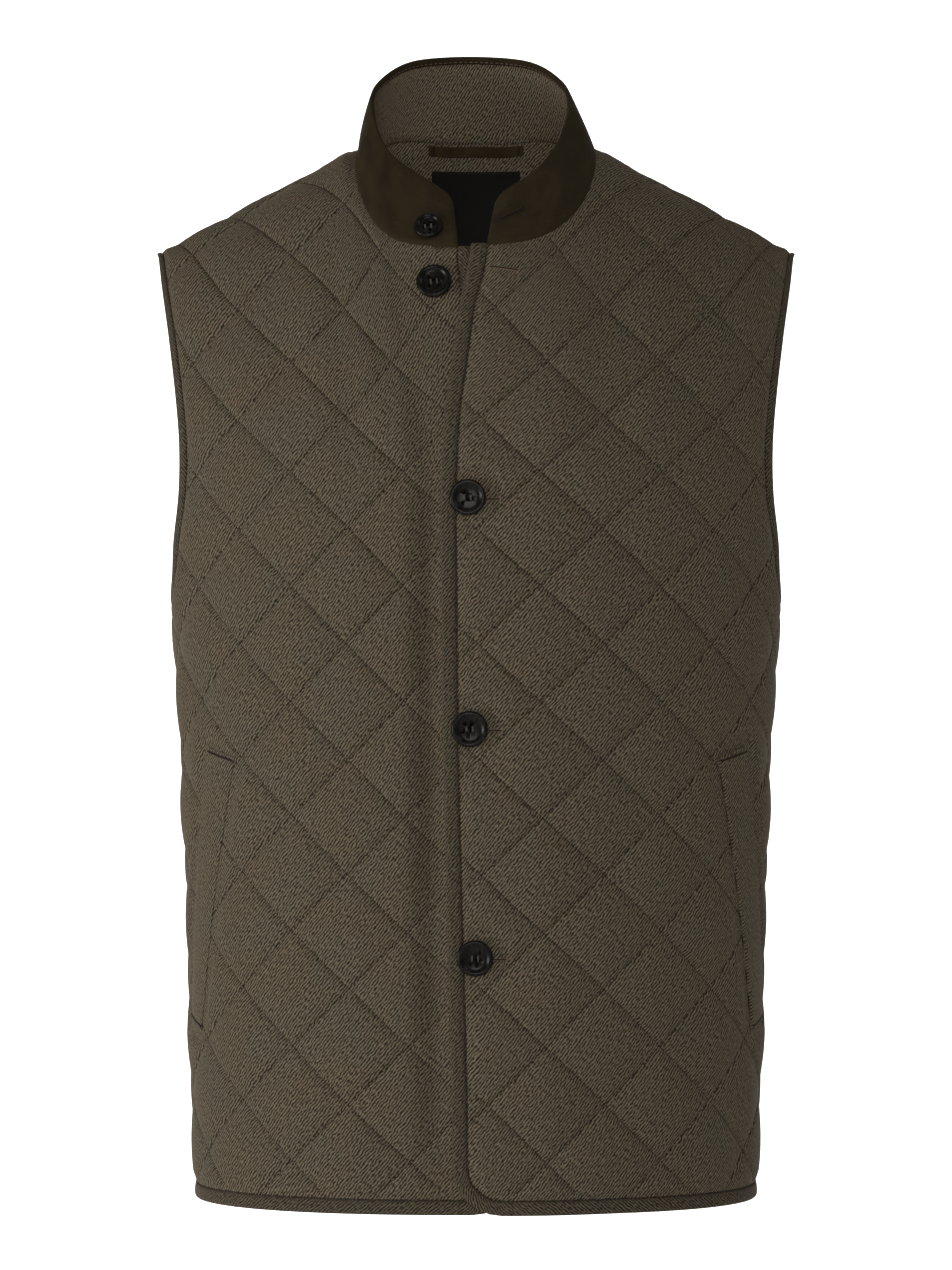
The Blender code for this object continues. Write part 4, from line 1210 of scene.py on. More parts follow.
def collar_profiles(height, share):
    """Outlines across the collar, as rise and depth: its outside with the turned edge, and its facing."""
    wave = sum(size * math.exp(-((share - place) / width) ** 2) for place, width, size in COLLAR_FOLDS)
    turn = height - COLLAR_TURN
    top = height - COLLAR_EDGE

    def bowed(rises, inward):
        return [(rise, (COLLAR_BOW + wave) * math.sin(math.pi * rise / top) ** 0.8 - inward)
                for rise in rises]
    edge = [(top + COLLAR_EDGE * math.sin(angle), -COLLAR_EDGE * (1 - math.cos(angle)))
            for angle in np.linspace(0.0, math.pi, 9)[1:-1]]
    below = np.linspace(0.0, turn, 10)
    outer = (bowed(np.linspace(0.0, top, 14)[:-1], 0.0) + [(top, 0.0)] + edge
             + [(turn, -2 * COLLAR_EDGE), (turn, -COLLAR_CLOTH)] + bowed(below[:-1][::-1], COLLAR_CLOTH))
    near = COLLAR_CLOTH + SEAM_GAP
    shorter = below * (1.0 - SEAM_GAP / turn)
    return outer, bowed(shorter[::-1], near) + bowed(shorter, near + FACING_CLOTH)


def collar_place(frames, inset, share, away):
    """Place and directions on the collar, at a length from its right end and a share of its height."""
    foot, up, outward, height = frames
    length = lengths(foot, False)
    at = inset if inset >= 0 else length[-1] + inset

    def between(values):
        columns = np.asarray(values).reshape(len(length), -1)
        return np.array([np.interp(at, length, column) for column in columns.T])
    direction = between(outward) / np.linalg.norm(between(outward))
    place = between(foot) + between(up) * between(height)[0] * share + direction * away
    return place, direction, between(up)


# Flat pieces on a panel


def welt_corners(cut):
    """Top and foot of a welt's inner edge on the pattern, and its width as a step."""
    corners = []
    for x, z in (WELT_TOP, WELT_FOOT):
        t = np.array([z])

        def wider(s):
            return cut.roll(s, t)[0] - x
        corners.append((solve(wider, np.zeros(1), side_length(t, False))[0], z))
    top, foot = np.array(corners)
    down = (foot - top) / np.linalg.norm(foot - top)
    return top, foot, np.array([-down[1], down[0]]) * WELT_WIDTH


def welt_loop(cut):
    """Pattern outline of a welt."""
    top, foot, out = welt_corners(cut)
    return np.array([top, foot, foot + out, top + out])


def loop_top(s):
    """Pattern height of the back's neckline."""
    neck = back_neck_run()[::-1]
    return np.interp(np.abs(s), neck[:, 0], neck[:, 1])


def add_patch(name, shape, size, quilt, base, thick, side, roll, finish):
    """Flat piece of cloth on a panel, with soft edges.

    shape turns shares along and across into pattern points; base is the height of the panel's face
    and side is 1 on its outside and -1 on its inside.
    """
    count_along, count_across = (max(6, round(length / 0.0025)) for length in size)
    u = edge_spaced(count_along, roll / size[0])
    v = edge_spaced(count_across, roll / size[1])
    along, across = (axis.ravel() for axis in np.meshgrid(u, v, indexing="ij"))
    flat = shape(along, across)
    cut = quilt.cut
    margin = np.minimum(np.minimum(along, 1 - along) * size[0], np.minimum(across, 1 - across) * size[1])
    soft = np.sqrt(1.0 - (1.0 - np.clip(margin / roll, 0.0, 1.0)) ** 2)
    s, t = flat.T
    normal = cut.normal(s, t) * side
    away = cut.lift(s) + base + quilt.fold_height(flat)
    foot = cut.point(s, t) + cut.normal(s, t) * away[:, None] + normal * SEAM_GAP
    top = foot + normal * (thick * (0.35 + 0.65 * soft))[:, None]
    rows, width = len(u), len(v)
    faces = []
    for row in range(rows - 1):
        for column in range(width - 1):
            a = row * width + column
            b, c, d = a + 1, a + width + 1, a + width
            faces.append((a, b, c, d))
            faces.append(tuple(corner + rows * width for corner in (d, c, b, a)))
    ring_order = ([column for column in range(width)] + [row * width + width - 1 for row in range(1, rows)]
                  + [(rows - 1) * width + column for column in range(width - 2, -1, -1)]
                  + [row * width for row in range(rows - 2, 0, -1)])
    for start, end in zip(ring_order, ring_order[1:] + ring_order[:1]):
        faces.append((start, start + rows * width, end + rows * width, end))
    woven = np.tile(weave(cut, flat), (2, 1))
    corner_uv = woven[np.array([corner for face in faces for corner in face])]
    corner_uv[-4 * len(ring_order):] *= EDGE_STRETCH
    return add_piece(name, np.vstack([foot, top]), faces, corner_uv, finish)


def edge_spaced(count, roll):
    """Shares from 0 to 1 with close rows at both ends, where a cloth's edge rolls over."""
    close = np.array([0.0, 0.12, 0.35, 0.7, 1.0]) * roll
    middle = np.linspace(roll, 1.0 - roll, count)[1:-1]
    return np.concatenate([close, middle, 1.0 - close[::-1]])


# Buttons

BUTTON_SEGMENTS = 48
HOLE_SEGMENTS = 14
BUTTON_TURNED = (
    # radius, height, as shares of the button's own
    (0.60, 0.00),
    (0.76, 0.04),
    (0.88, 0.18),
    (0.96, 0.36),
    (1.00, 0.56),
    (0.99, 0.76),
    (0.955, 0.91),
    (0.90, 0.985),
    (0.85, 1.00),
    (0.80, 0.975),
    (0.755, 0.90),
    (0.71, 0.78),
    (0.65, 0.68),
    (0.58, 0.62),
)


def circle(radius, count, centre=(0.0, 0.0)):
    """Points round a circle."""
    turn = np.arange(count) * 2 * math.pi / count
    return np.stack([centre[0] + radius * np.cos(turn), centre[1] + radius * np.sin(turn)], axis=1)


def button_holes():
    """Centres of the four holes."""
    return [(x * HOLE_SPACING, y * HOLE_SPACING) for x in (-1, 1) for y in (-1, 1)]


def add_button(name, diameter, place, outward, finish):
    """Turned four-hole button with a raised rim and a dished middle, its back on the cloth."""
    rings = [circle(radius * diameter / 2, BUTTON_SEGMENTS) for radius, _ in BUTTON_TURNED]
    heights = [height * BUTTON_HEIGHT for _, height in BUTTON_TURNED]
    points = [np.column_stack([ring_points, np.full(BUTTON_SEGMENTS, height)])
              for ring_points, height in zip(rings, heights)]
    faces = []
    for row in range(len(rings) - 1):
        for index in range(BUTTON_SEGMENTS):
            beside = (index + 1) % BUTTON_SEGMENTS
            low, high = row * BUTTON_SEGMENTS, (row + 1) * BUTTON_SEGMENTS
            faces.append((low + index, low + beside, high + beside, high + index))
    holes = [circle(HOLE_RADIUS, HOLE_SEGMENTS, centre) for centre in button_holes()]
    start = len(rings) * BUTTON_SEGMENTS
    starts = []
    for height in (heights[0], heights[-1]):
        starts.append(start)
        points += [np.column_stack([hole, np.full(HOLE_SEGMENTS, height)]) for hole in holes]
        start += len(holes) * HOLE_SEGMENTS
    for ring_start, hole_start, edge in ((0, starts[0], rings[0]),
                                         ((len(rings) - 1) * BUTTON_SEGMENTS, starts[1], rings[-1])):
        order = list(range(ring_start, ring_start + BUTTON_SEGMENTS))
        order += list(range(hole_start, hole_start + len(holes) * HOLE_SEGMENTS))
        flat = np.vstack([edge] + holes)
        loops = [list(range(BUTTON_SEGMENTS))]
        loops += [[BUTTON_SEGMENTS + hole * HOLE_SEGMENTS + index for index in range(HOLE_SEGMENTS)]
                  for hole in range(len(holes))]
        edges = [(loop[index - 1], loop[index]) for loop in loops for index in range(len(loop))]
        found = delaunay_2d_cdt([Vector(point) for point in flat.tolist()], edges, [loops[0]], 1, 1e-9)
        for triangle in found[2]:
            corners = [found[3][corner][0] for corner in triangle]
            middle = flat[corners].mean(axis=0)
            if all(math.dist(middle, centre) > HOLE_RADIUS * 0.9 for centre in button_holes()):
                faces.append(tuple(order[corner] for corner in corners))
    for hole in range(len(holes)):
        for index in range(HOLE_SEGMENTS):
            beside = (index + 1) % HOLE_SEGMENTS
            low, high = (start + hole * HOLE_SEGMENTS for start in starts)
            faces.append((low + index, low + beside, high + beside, high + index))
    place_matrix = button_matrix(place, outward)
    points = np.vstack(points) @ np.array(place_matrix.to_3x3()).T + np.array(place_matrix.translation)
    piece = add_piece(name, points, faces, None, finish)
    piece.data.set_sharp_from_angle(angle=math.radians(50))
    return piece


def button_matrix(place, outward):
    """Turn and place of a button that faces outwards."""
    turn = Vector((0, 0, 1)).rotation_difference(Vector(outward))
    return Matrix.Translation(Vector(place)) @ turn.to_matrix().to_4x4()


def button_thread_lines(place, outward):
    """Lines of the thread that joins a button's holes in two upright pairs."""
    matrix = button_matrix(place, outward)
    top = BUTTON_TURNED[-1][1] * BUTTON_HEIGHT
    lines = []
    for x in (-HOLE_SPACING, HOLE_SPACING):
        for strand in (-0.45, 0.45):
            share = np.linspace(0.0, 1.0, 11)
            flat = np.stack([np.full(11, x + strand * THREAD_PAIR), (2 * share - 1) * HOLE_SPACING], axis=1)
            rise = top - 0.0016 + 0.0022 * np.sin(math.pi * share) ** 0.35
            lines.append([tuple(matrix @ Vector((x, y, z))) for (x, y), z in zip(flat, rise)])
    return lines


# Sewing, by Geometry Nodes


def stitch_tree(name, tube):
    """Node tree that lays stitches, or one unbroken thread, along lines of edges."""
    tree = bpy.data.node_groups.new(name, "GeometryNodeTree")
    tree.is_modifier = True
    sockets = {"Lines": "NodeSocketGeometry", "Pitch": "NodeSocketFloat", "Length": "NodeSocketFloat",
               "Radius": "NodeSocketFloat", "Seed": "NodeSocketInt", "Finish": "NodeSocketMaterial"}
    for socket, kind in sockets.items():
        tree.interface.new_socket(socket, in_out="INPUT", socket_type=kind)
    tree.interface.new_socket("Sewing", in_out="OUTPUT", socket_type="NodeSocketGeometry")
    given = add_node(tree, "NodeGroupInput").outputs
    line = add_node(tree, "GeometryNodeMeshToCurve", {"Mesh": given["Lines"]}).outputs["Curve"]
    if tube:
        section = add_node(tree, "GeometryNodeCurvePrimitiveCircle",
                           {"Resolution": 6, "Radius": given["Radius"]})
        made = add_node(tree, "GeometryNodeCurveToMesh", {
            "Curve": line, "Profile Curve": section.outputs["Curve"], "Fill Caps": True}).outputs["Mesh"]
    else:
        row = add_node(tree, "GeometryNodeCurveToPoints",
                       {"Curve": line, "Length": given["Pitch"]}, mode="LENGTH")
        half = add_node(tree, "ShaderNodeMath", {0: given["Length"], 1: 0.5}, operation="MULTIPLY")
        size = add_node(tree, "ShaderNodeCombineXYZ", {"X": given["Radius"], "Y": given["Radius"],
                                                       "Z": half.outputs["Value"]})
        bead = add_node(tree, "GeometryNodeMeshUVSphere", {"Segments": 6, "Rings": 4, "Radius": 1.0})
        stitch = add_node(tree, "GeometryNodeTransform", {"Geometry": bead.outputs["Mesh"],
                                                          "Scale": size.outputs["Vector"]})
        lie = add_node(tree, "FunctionNodeAlignRotationToVector",
                       {"Vector": row.outputs["Tangent"]}, axis="Z")
        lean = add_node(tree, "FunctionNodeRandomValue", {0: (-0.06, -0.06, 0.0), 1: (0.06, 0.06, 0.0),
                                                          "Seed": given["Seed"]}, data_type="FLOAT_VECTOR")
        turn = add_node(tree, "FunctionNodeEulerToRotation", {"Euler": lean.outputs[0]})
        leant = add_node(tree, "FunctionNodeRotateRotation", {"Rotation": lie.outputs["Rotation"],
                                                              "Rotate By": turn.outputs["Rotation"]},
                         rotation_space="LOCAL")
        grown = add_node(tree, "FunctionNodeRandomValue", {2: 0.86, 3: 1.10, "Seed": given["Seed"]},
                         data_type="FLOAT")
        made = add_node(tree, "GeometryNodeInstanceOnPoints", {
            "Points": row.outputs["Points"], "Instance": stitch.outputs["Geometry"],
            "Rotation": leant.outputs["Rotation"], "Scale": grown.outputs[1]}).outputs["Instances"]
    real = add_node(tree, "GeometryNodeRealizeInstances", {"Geometry": made})
    finished = add_node(tree, "GeometryNodeSetMaterial", {"Geometry": real.outputs["Geometry"],
                                                          "Material": given["Finish"]})
    add_node(tree, "NodeGroupOutput", {"Sewing": finished.outputs["Geometry"]})
    return tree


def sew(name, lines, finish, pitch=None, radius=None):
    """Piece of sewing along lines of points: stitches at a pitch, or unbroken thread without one."""
    sizes = bpy.context.scene.vest_sizes
    points, edges = [], []
    for line in lines:
        edges += [(len(points) + index, len(points) + index + 1) for index in range(len(line) - 1)]
        points += [tuple(map(float, point)) for point in line]
    mesh = bpy.data.meshes.new(name)
    mesh.from_pydata(points, edges, [])
    piece = bpy.data.objects.new(name, mesh)
    bpy.context.scene.collection.objects.link(piece)
    kind = "unbroken_thread" if pitch is None else "row_of_stitches"
    tree = bpy.data.node_groups.get(kind) or stitch_tree(kind, pitch is None)
    sewing = piece.modifiers.new("Sewing", "NODES")
    sewing.node_group = tree
    given = {"Pitch": pitch or 0.0, "Length": (pitch or 0.0) * sizes.stitch_share,
             "Radius": radius or sizes.thread, "Seed": sizes.seed, "Finish": finish}
    for socket in tree.interface.items_tree:
        if socket.in_out == "INPUT" and socket.name in given:
            sewing[socket.identifier] = given[socket.name]
    bpy.context.view_layer.update()
    made = bpy.data.meshes.new_from_object(piece.evaluated_get(bpy.context.evaluated_depsgraph_get()))
    piece.modifiers.clear()
    piece.data = made
    bpy.data.meshes.remove(mesh)
    made.name = name
    made.shade_smooth()
    if not made.polygons:
        raise RuntimeError(name + " came out empty")
    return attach(piece, BODY_NAME)


def runs(points, keep):
    """Stretches of a line whose points are kept, of three points or more."""
    lines, line = [], []
    for point, kept in zip(points, keep):
        if kept:
            line.append(point)
        else:
            lines.append(line)
            line = []
    lines.append(line)
    return [stretch for stretch in lines if len(stretch) > 2]


# The vest's own patterns

LEFT_OUTLINE = front_outline(FRONT_LEFT)
RIGHT_OUTLINE = front_outline(FRONT_RIGHT)
BACK_OUTLINE = back_outline()
WELT_LOOP = welt_loop(FRONT_LEFT)

LEFT_FOLDS = (
    # start_s, start_t, end_s, end_t, width, height
    (0.062, -0.040, 0.050, -0.185, 0.009, 0.0008),
    (0.084, -0.012, 0.074, -0.160, 0.010, -0.0008),
    (0.108, -0.004, 0.102, -0.195, 0.011, 0.0010),
    (0.140, -0.015, 0.150, -0.150, 0.012, -0.0007),
    (0.205, -0.140, 0.178, -0.275, 0.014, -0.0011),
    (0.050, -0.245, 0.120, -0.330, 0.015, 0.0010),
    (0.020, -0.270, 0.028, -0.415, 0.010, 0.0008),
    (0.120, -0.350, 0.060, -0.455, 0.016, -0.0010),
    (0.200, -0.300, 0.225, -0.440, 0.016, 0.0010),
    (0.070, -0.470, 0.130, -0.560, 0.017, 0.0009),
    (0.175, -0.560, 0.190, -0.628, 0.013, -0.0009),
)
RIGHT_FOLDS = (
    # start_s, start_t, end_s, end_t, width, height
    (0.0235, -0.120, 0.0240, -0.440, 0.0110, -0.0048),
    (0.0245, -0.330, 0.0260, -0.630, 0.0115, -0.0044),
    (0.064, -0.055, 0.052, -0.190, 0.008, 0.0008),
    (0.086, -0.018, 0.072, -0.200, 0.008, -0.0009),
    (0.104, -0.006, 0.092, -0.215, 0.010, 0.0011),
    (0.128, -0.012, 0.120, -0.170, 0.010, -0.0008),
    (0.198, -0.130, 0.172, -0.270, 0.014, -0.0010),
    (0.060, -0.300, 0.145, -0.390, 0.016, 0.0009),
    (0.110, -0.430, 0.205, -0.520, 0.018, -0.0010),
    (0.215, -0.290, 0.235, -0.420, 0.015, 0.0011),
    (0.055, -0.515, 0.090, -0.630, 0.014, 0.0010),
)
BACK_FOLDS = (
    # start_s, start_t, end_s, end_t, width, height
    (-0.112, -0.010, -0.098, -0.200, 0.012, 0.0010),
    (-0.080, 0.000, -0.060, -0.150, 0.011, -0.0008),
    (0.094, -0.005, 0.078, -0.175, 0.011, -0.0009),
    (0.122, -0.012, 0.115, -0.215, 0.013, 0.0011),
    (-0.200, -0.140, -0.165, -0.280, 0.015, -0.0012),
    (0.205, -0.130, 0.170, -0.265, 0.014, -0.0010),
    (-0.040, -0.230, 0.055, -0.330, 0.018, 0.0010),
    (0.020, -0.360, -0.090, -0.450, 0.018, -0.0011),
    (0.140, -0.300, 0.180, -0.460, 0.017, 0.0011),
    (-0.180, -0.360, -0.150, -0.520, 0.017, 0.0010),
    (0.060, -0.480, 0.130, -0.590, 0.018, -0.0010),
    (-0.060, -0.540, -0.045, -0.630, 0.014, 0.0009),
)


def button_spots(front):
    """Pattern places of the buttons on a front."""
    return [np.array([0.0, row[2]]) for row in BUTTONS if row[1] == front]


QUILTS = {
    "front_left": Quilt("front_left", FRONT_LEFT, LEFT_OUTLINE, FRONT_LATTICE, [WELT_LOOP],
                        button_spots("left"), LEFT_FOLDS),
    "front_right": Quilt("front_right", FRONT_RIGHT, RIGHT_OUTLINE, FRONT_LATTICE, [WELT_LOOP],
                         button_spots("right"), RIGHT_FOLDS),
    "back": Quilt("back", BACK, BACK_OUTLINE, BACK_LATTICE, [], [], BACK_FOLDS),
}


def shared_material(name, make, *values):
    """Material by name, made once."""
    return bpy.data.materials.get(name) or make(name, *values)


def wool():
    """Twill of the panels' outsides and the welts."""
    return shared_material("wool_twill", wool_twill, TWILL_TURN, 1.0)


def painted_light_inside_wool():
    """The same twill on insides, made paler as painted light, so that the collar's inside is as bright as in
    the photograph.
    """
    return shared_material("wool_twill_inside", wool_twill, TWILL_TURN, INSIDE_PAINTED_LIGHT)


def bias_wool():
    """The same twill cut on the bias, for the bindings."""
    return shared_material("wool_bias_binding", wool_twill, BIAS_TURN, BIAS_TONE)


def suede():
    """Brushed cloth of the collar."""
    return shared_material("collar_brushed_cloth", brushed_cloth, 1.0)


def sewing_thread():
    """Thread of the quilting and the seams."""
    return shared_material("sewing_thread", spun_thread, tuple(bpy.context.scene.vest_colours.thread))


def button_thread():
    """Thread that holds the buttons."""
    return shared_material("button_thread", spun_thread, tuple(bpy.context.scene.vest_colours.button_thread))


def buttonhole_twist():
    """Thread of the buttonholes."""
    return shared_material("buttonhole_twist", spun_thread, tuple(bpy.context.scene.vest_colours.twist))


# Operators


class VEST_OT_panels(bpy.types.Operator):
    """Quilted fronts and back, as shells over the solids' form"""

    bl_idname = "vest.panels"
    bl_label = "Quilted panels"

    def execute(self, context):
        for name, quilt in QUILTS.items():
            piece = settle(quilt.build(wool(), painted_light_inside_wool()), "wool", name)
        return {"FINISHED"}


class VEST_OT_bindings(bpy.types.Operator):
    """Bias strips on the front edges, the hems and the armholes"""

    bl_idname = "vest.bindings"
    bl_label = "Bindings"

    def execute(self, context):
        cloth = bias_wool()
        for side, cut, outline in (("left", FRONT_LEFT, LEFT_OUTLINE), ("right", FRONT_RIGHT, RIGHT_OUTLINE)):
            path = binding_path(outline, {"front", "hem"}, FRONT_BINDING)
            add_binding("front_" + side, binding_sections(cut, *path), False, cloth)
            add_binding("armhole_" + side, armhole_sections(cut, outline), True, cloth)
        path = binding_path(BACK_OUTLINE, {"hem"}, FRONT_BINDING)
        add_binding("back_hem", binding_sections(BACK, *path), False, cloth)
        return {"FINISHED"}


class VEST_OT_collar(bpy.types.Operator):
    """Stand collar: brushed outside turned over its top, and twill inside"""

    bl_idname = "vest.collar"
    bl_label = "Collar"

    def execute(self, context):
        frames = collar_frames()
        length = lengths(frames[0], False)
        outer, facing = [], []
        for index, (foot, up, outward, height) in enumerate(zip(*frames)):
            profiles = collar_profiles(height, length[index] / length[-1])
            for sections, profile in zip((outer, facing), profiles):
                sections.append(np.array([foot + up * rise + outward * depth for rise, depth in profile]))
        middle = len(outer) // 2
        for name, node, sections, cloth, slot_name in (
                ("stand_collar", "collar_outer", outer, suede(), "collar"),
                # The facing's paler twill is painted light.
                ("collar_inside", "collar_facing", facing, painted_light_inside_wool(), "wool")):
            across = lengths(sections[middle], True)
            piece = settle(sweep(name, sections, -length, across, False, cloth), slot_name, node)
        return {"FINISHED"}


class VEST_OT_welts(bpy.types.Operator):
    """Slanted welts of the two side pockets"""

    bl_idname = "vest.welts"
    bl_label = "Pocket welts"

    def execute(self, context):
        for side in WELT_LIE:
            quilt = QUILTS["front_" + side]
            top, foot, out = welt_corners(quilt.cut)
            size = (np.linalg.norm(foot - top), WELT_WIDTH)

            def shape(along, across):
                return top + along[:, None] * (foot - top) + across[:, None] * out
            thick, roll = WELT_LIE[side]
            piece = add_patch("pocket_welt_" + side, shape, size, quilt, WALL, thick, 1, roll, wool())
            settle(piece, "wool", "welt_" + side)
        return {"FINISHED"}


class VEST_OT_neck_trims(bpy.types.Operator):
    """Hanger loop and plain label inside the back's neck"""

    bl_idname = "vest.neck_trims"
    bl_label = "Hanger loop and label"

    def execute(self, context):
        def loop_shape(along, across):
            s = (along - 0.5) * LOOP_SIZE[0]
            return np.stack([s, loop_top(s) - LOOP_DROP - across * LOOP_SIZE[1]], axis=1)

        def label_shape(along, across):
            s = (along - 0.5) * LABEL_SIZE[0]
            return np.stack([s, loop_top(np.zeros_like(s)) - LABEL_DROP - across * LABEL_SIZE[1]], axis=1)
        # The loop's cloth is made paler as painted light.
        piece = add_patch("loop_strip", loop_shape, LOOP_SIZE, QUILTS["back"], 0.0, LOOP_THICK, -1, LOOP_ROLL,
                          shared_material("loop_brushed_cloth", brushed_cloth, LOOP_PAINTED_LIGHT))
        settle(piece, "collar", "hanger_loop")
        satin = shared_material("label_black_satin", label_satin)
        piece = add_patch("plain_label", label_shape, LABEL_SIZE, QUILTS["back"], 0.0, LABEL_THICK,
                          -1, LABEL_ROLL, satin)
        settle(piece, "label", "neck_label")
        return {"FINISHED"}


def button_places():
    """Name, diameter, place and outward direction of each button."""
    rows = []
    for name, front, t, diameter in BUTTONS:
        cut = QUILTS["front_" + front].cut
        s, t = np.array([0.0]), np.array([t])
        normal = cut.normal(s, t)
        place = cut.point(s, t) + normal * (cut.lift(s) + WALL + BUTTON_SEAT)[:, None]
        rows.append((name, diameter, place[0], normal[0]))
    place, outward, _ = collar_place(collar_frames(), COLLAR_BUTTON_INSET, COLLAR_BUTTON_SHARE,
                                     COLLAR_BOW + BUTTON_SEAT)
    return rows + [("button_collar", COLLAR_BUTTON, place, outward)]


class VEST_OT_buttons(bpy.types.Operator):
    """Four-hole horn buttons and the thread that holds them"""

    bl_idname = "vest.buttons"
    bl_label = "Buttons"

    def execute(self, context):
        horn = shared_material("button_polished_horn", polished_horn)
        for name, diameter, place, outward in button_places():
            settle(add_button("horn_" + name, diameter, place, outward, horn), "button", name)
            sew(name + "_thread", button_thread_lines(place, outward), button_thread(),
                radius=context.scene.vest_sizes.twist * 0.8)
        return {"FINISHED"}


def quilting_lines(quilt):
    """Lines of the quilting stitches on a panel, in the bottoms of its valleys."""
    low, high = quilt.box
    count = math.ceil((high[1] - low[1]) / LATTICE_HEIGHT + (high[0] - low[0]) / LATTICE_WIDTH)
    along, fixed = np.meshgrid(np.arange(-count, count, 1 / 40), np.arange(-count, count + 1))
    across = np.vstack([fixed, along]).ravel()
    down = np.vstack([along, fixed]).ravel()
    flat = quilt.place(across, down)
    keep = ((flat > low) & (flat < high)).all(axis=1)
    keep[keep] = inside(flat[keep], quilt.boundary)
    keep[keep] = edge_distance(flat[keep], quilt.boundary) > LINE_MARGIN
    for loop in quilt.loops:
        keep[keep] = ~inside(flat[keep], loop)
    places = np.zeros((len(flat), 3))
    height = quilt.height(flat[keep], across[keep], down[keep])
    places[keep] = quilt.surface(flat[keep], height + THREAD_LIFT)
    lines = []
    for line, kept in zip(places.reshape(*np.vstack([fixed, along]).shape, 3),
                          keep.reshape(np.vstack([fixed, along]).shape)):
        lines += runs(line, kept)
    return lines


class VEST_OT_quilting(bpy.types.Operator):
    """Quilting stitches of the three panels"""

    bl_idname = "vest.quilting"
    bl_label = "Quilting stitches"

    def execute(self, context):
        for name, quilt in QUILTS.items():
            sew("quilting_" + name, quilting_lines(quilt), sewing_thread(),
                context.scene.vest_sizes.quilt_pitch)
        return {"FINISHED"}


def ditch_lines(quilt, widths):
    """Lines of the stitches beside a panel's bindings, whose kinds of edge have the given widths."""
    inset = {**PANEL_INSET, **{kind: width + DITCH for kind, width in widths.items()}}
    flat, kinds = trimmed_inset(quilt.outline, inset)
    keep = np.array([kind in widths for kind in kinds])
    places = quilt.surface(flat, quilt.height(flat, *quilt.lattice_at(flat)) + THREAD_LIFT)
    first = next(index for index in range(len(flat)) if keep[index] and not keep[index - 1])
    return runs(np.roll(places, -first, axis=0), np.roll(keep, -first))


class VEST_OT_seams(bpy.types.Operator):
    """Stitches beside the bindings, round the collar's top and on the label"""

    bl_idname = "vest.seams"
    bl_label = "Seam stitches"

    def execute(self, context):
        sizes = context.scene.vest_sizes
        for name, quilt in QUILTS.items():
            widths = {"hem": FRONT_BINDING, "front": FRONT_BINDING, "armhole": ARMHOLE_BINDING}
            sew("seam_" + name, ditch_lines(quilt, widths), sewing_thread(), sizes.seam_pitch)
        line = []
        for foot, up, outward, height in zip(*collar_frames()):
            line.append(foot + up * (height - COLLAR_TURN + 0.0011) - outward * (2 * COLLAR_EDGE + 0.00008))
        sew("seam_collar", [line], buttonhole_twist(), sizes.collar_pitch)
        s = np.linspace(-LABEL_SIZE[0] / 2 + 0.001, LABEL_SIZE[0] / 2 - 0.001, 40)
        rows = []
        for share in (0.025, 0.975):
            t = loop_top(np.zeros_like(s)) - LABEL_DROP - share * LABEL_SIZE[1]
            rows.append(BACK.point(s, t) - BACK.normal(s, t) * (SEAM_GAP + LABEL_THICK))
        sew("seam_label", rows, sewing_thread(), sizes.seam_pitch)
        return {"FINISHED"}


BUTTONHOLES = (
    # front edge side start_s, start_t, end_s, end_t
    (-0.0035, -0.0440, 0.0150, -0.0475),
    (-0.0050, -0.1945, 0.0190, -0.1945),
    (-0.0050, -0.3365, 0.0190, -0.3365),
    (-0.0050, -0.4775, 0.0190, -0.4775),
)
WHIP_PITCH = 0.00075
TACK_PITCH = 0.00045
TACK_SINK = 0.0002
WHIP_REACH = 0.0007
WHIP_PATH = (
    # reach, shift along the slit, height
    (0.00012, 0.0, 0.00020),
    (WHIP_REACH * 0.55, 0.0001, 0.00030),
    (WHIP_REACH, 0.0002, 0.00002),
)
SLIT_HEIGHT = 0.00050
TACK_HEIGHT = 0.0042


def whip_lines(on_cloth, start, end):
    """Thread round a buttonhole's slit, a bartack at its far end, and the slit itself.

    on_cloth turns flat points and heights over the cloth into places.
    """
    start, end = np.array(start), np.array(end)
    length = np.linalg.norm(end - start)
    ahead = (end - start) / length
    up = np.array([-ahead[1], ahead[0]])
    whips, slit = [], []
    for step in np.arange(0.0, length, WHIP_PITCH):
        for side in (1, -1):
            middle = start + ahead * step
            flat = np.array([middle + up * side * reach + ahead * shift
                             for reach, shift, _ in WHIP_PATH])
            whips.append(on_cloth(flat, np.array([height for _, _, height in WHIP_PATH])))
    for shift in (-0.0004, 0.0, 0.0004):
        share = np.linspace(-0.5, 0.5, 7)
        flat = end + ahead * shift + share[:, None] * TACK_HEIGHT * up
        whips.append(on_cloth(flat, 0.00035 - 0.0012 * share ** 2))
    share = np.linspace(0.0, 1.0, 24)[:, None]
    slit.append(on_cloth(start + share * (end - start), np.full(24, SLIT_HEIGHT)))
    return whips, slit


def bar_lines(on_cloth, start, end, rows, spread):
    """Bartack of a few rows of thread between two flat points."""
    start, end = np.array(start), np.array(end)
    ahead = (end - start) / np.linalg.norm(end - start)
    up = np.array([-ahead[1], ahead[0]])
    share = np.linspace(0.0, 1.0, 14)[:, None]
    lines = []
    for row in range(rows):
        shift = (row - (rows - 1) / 2) * spread
        flat = start + share * (end - start) + up * shift
        lines.append(on_cloth(flat, 0.00022 + 0.0001 * np.sin(np.linspace(0, 17, 14) + row)))
    return lines


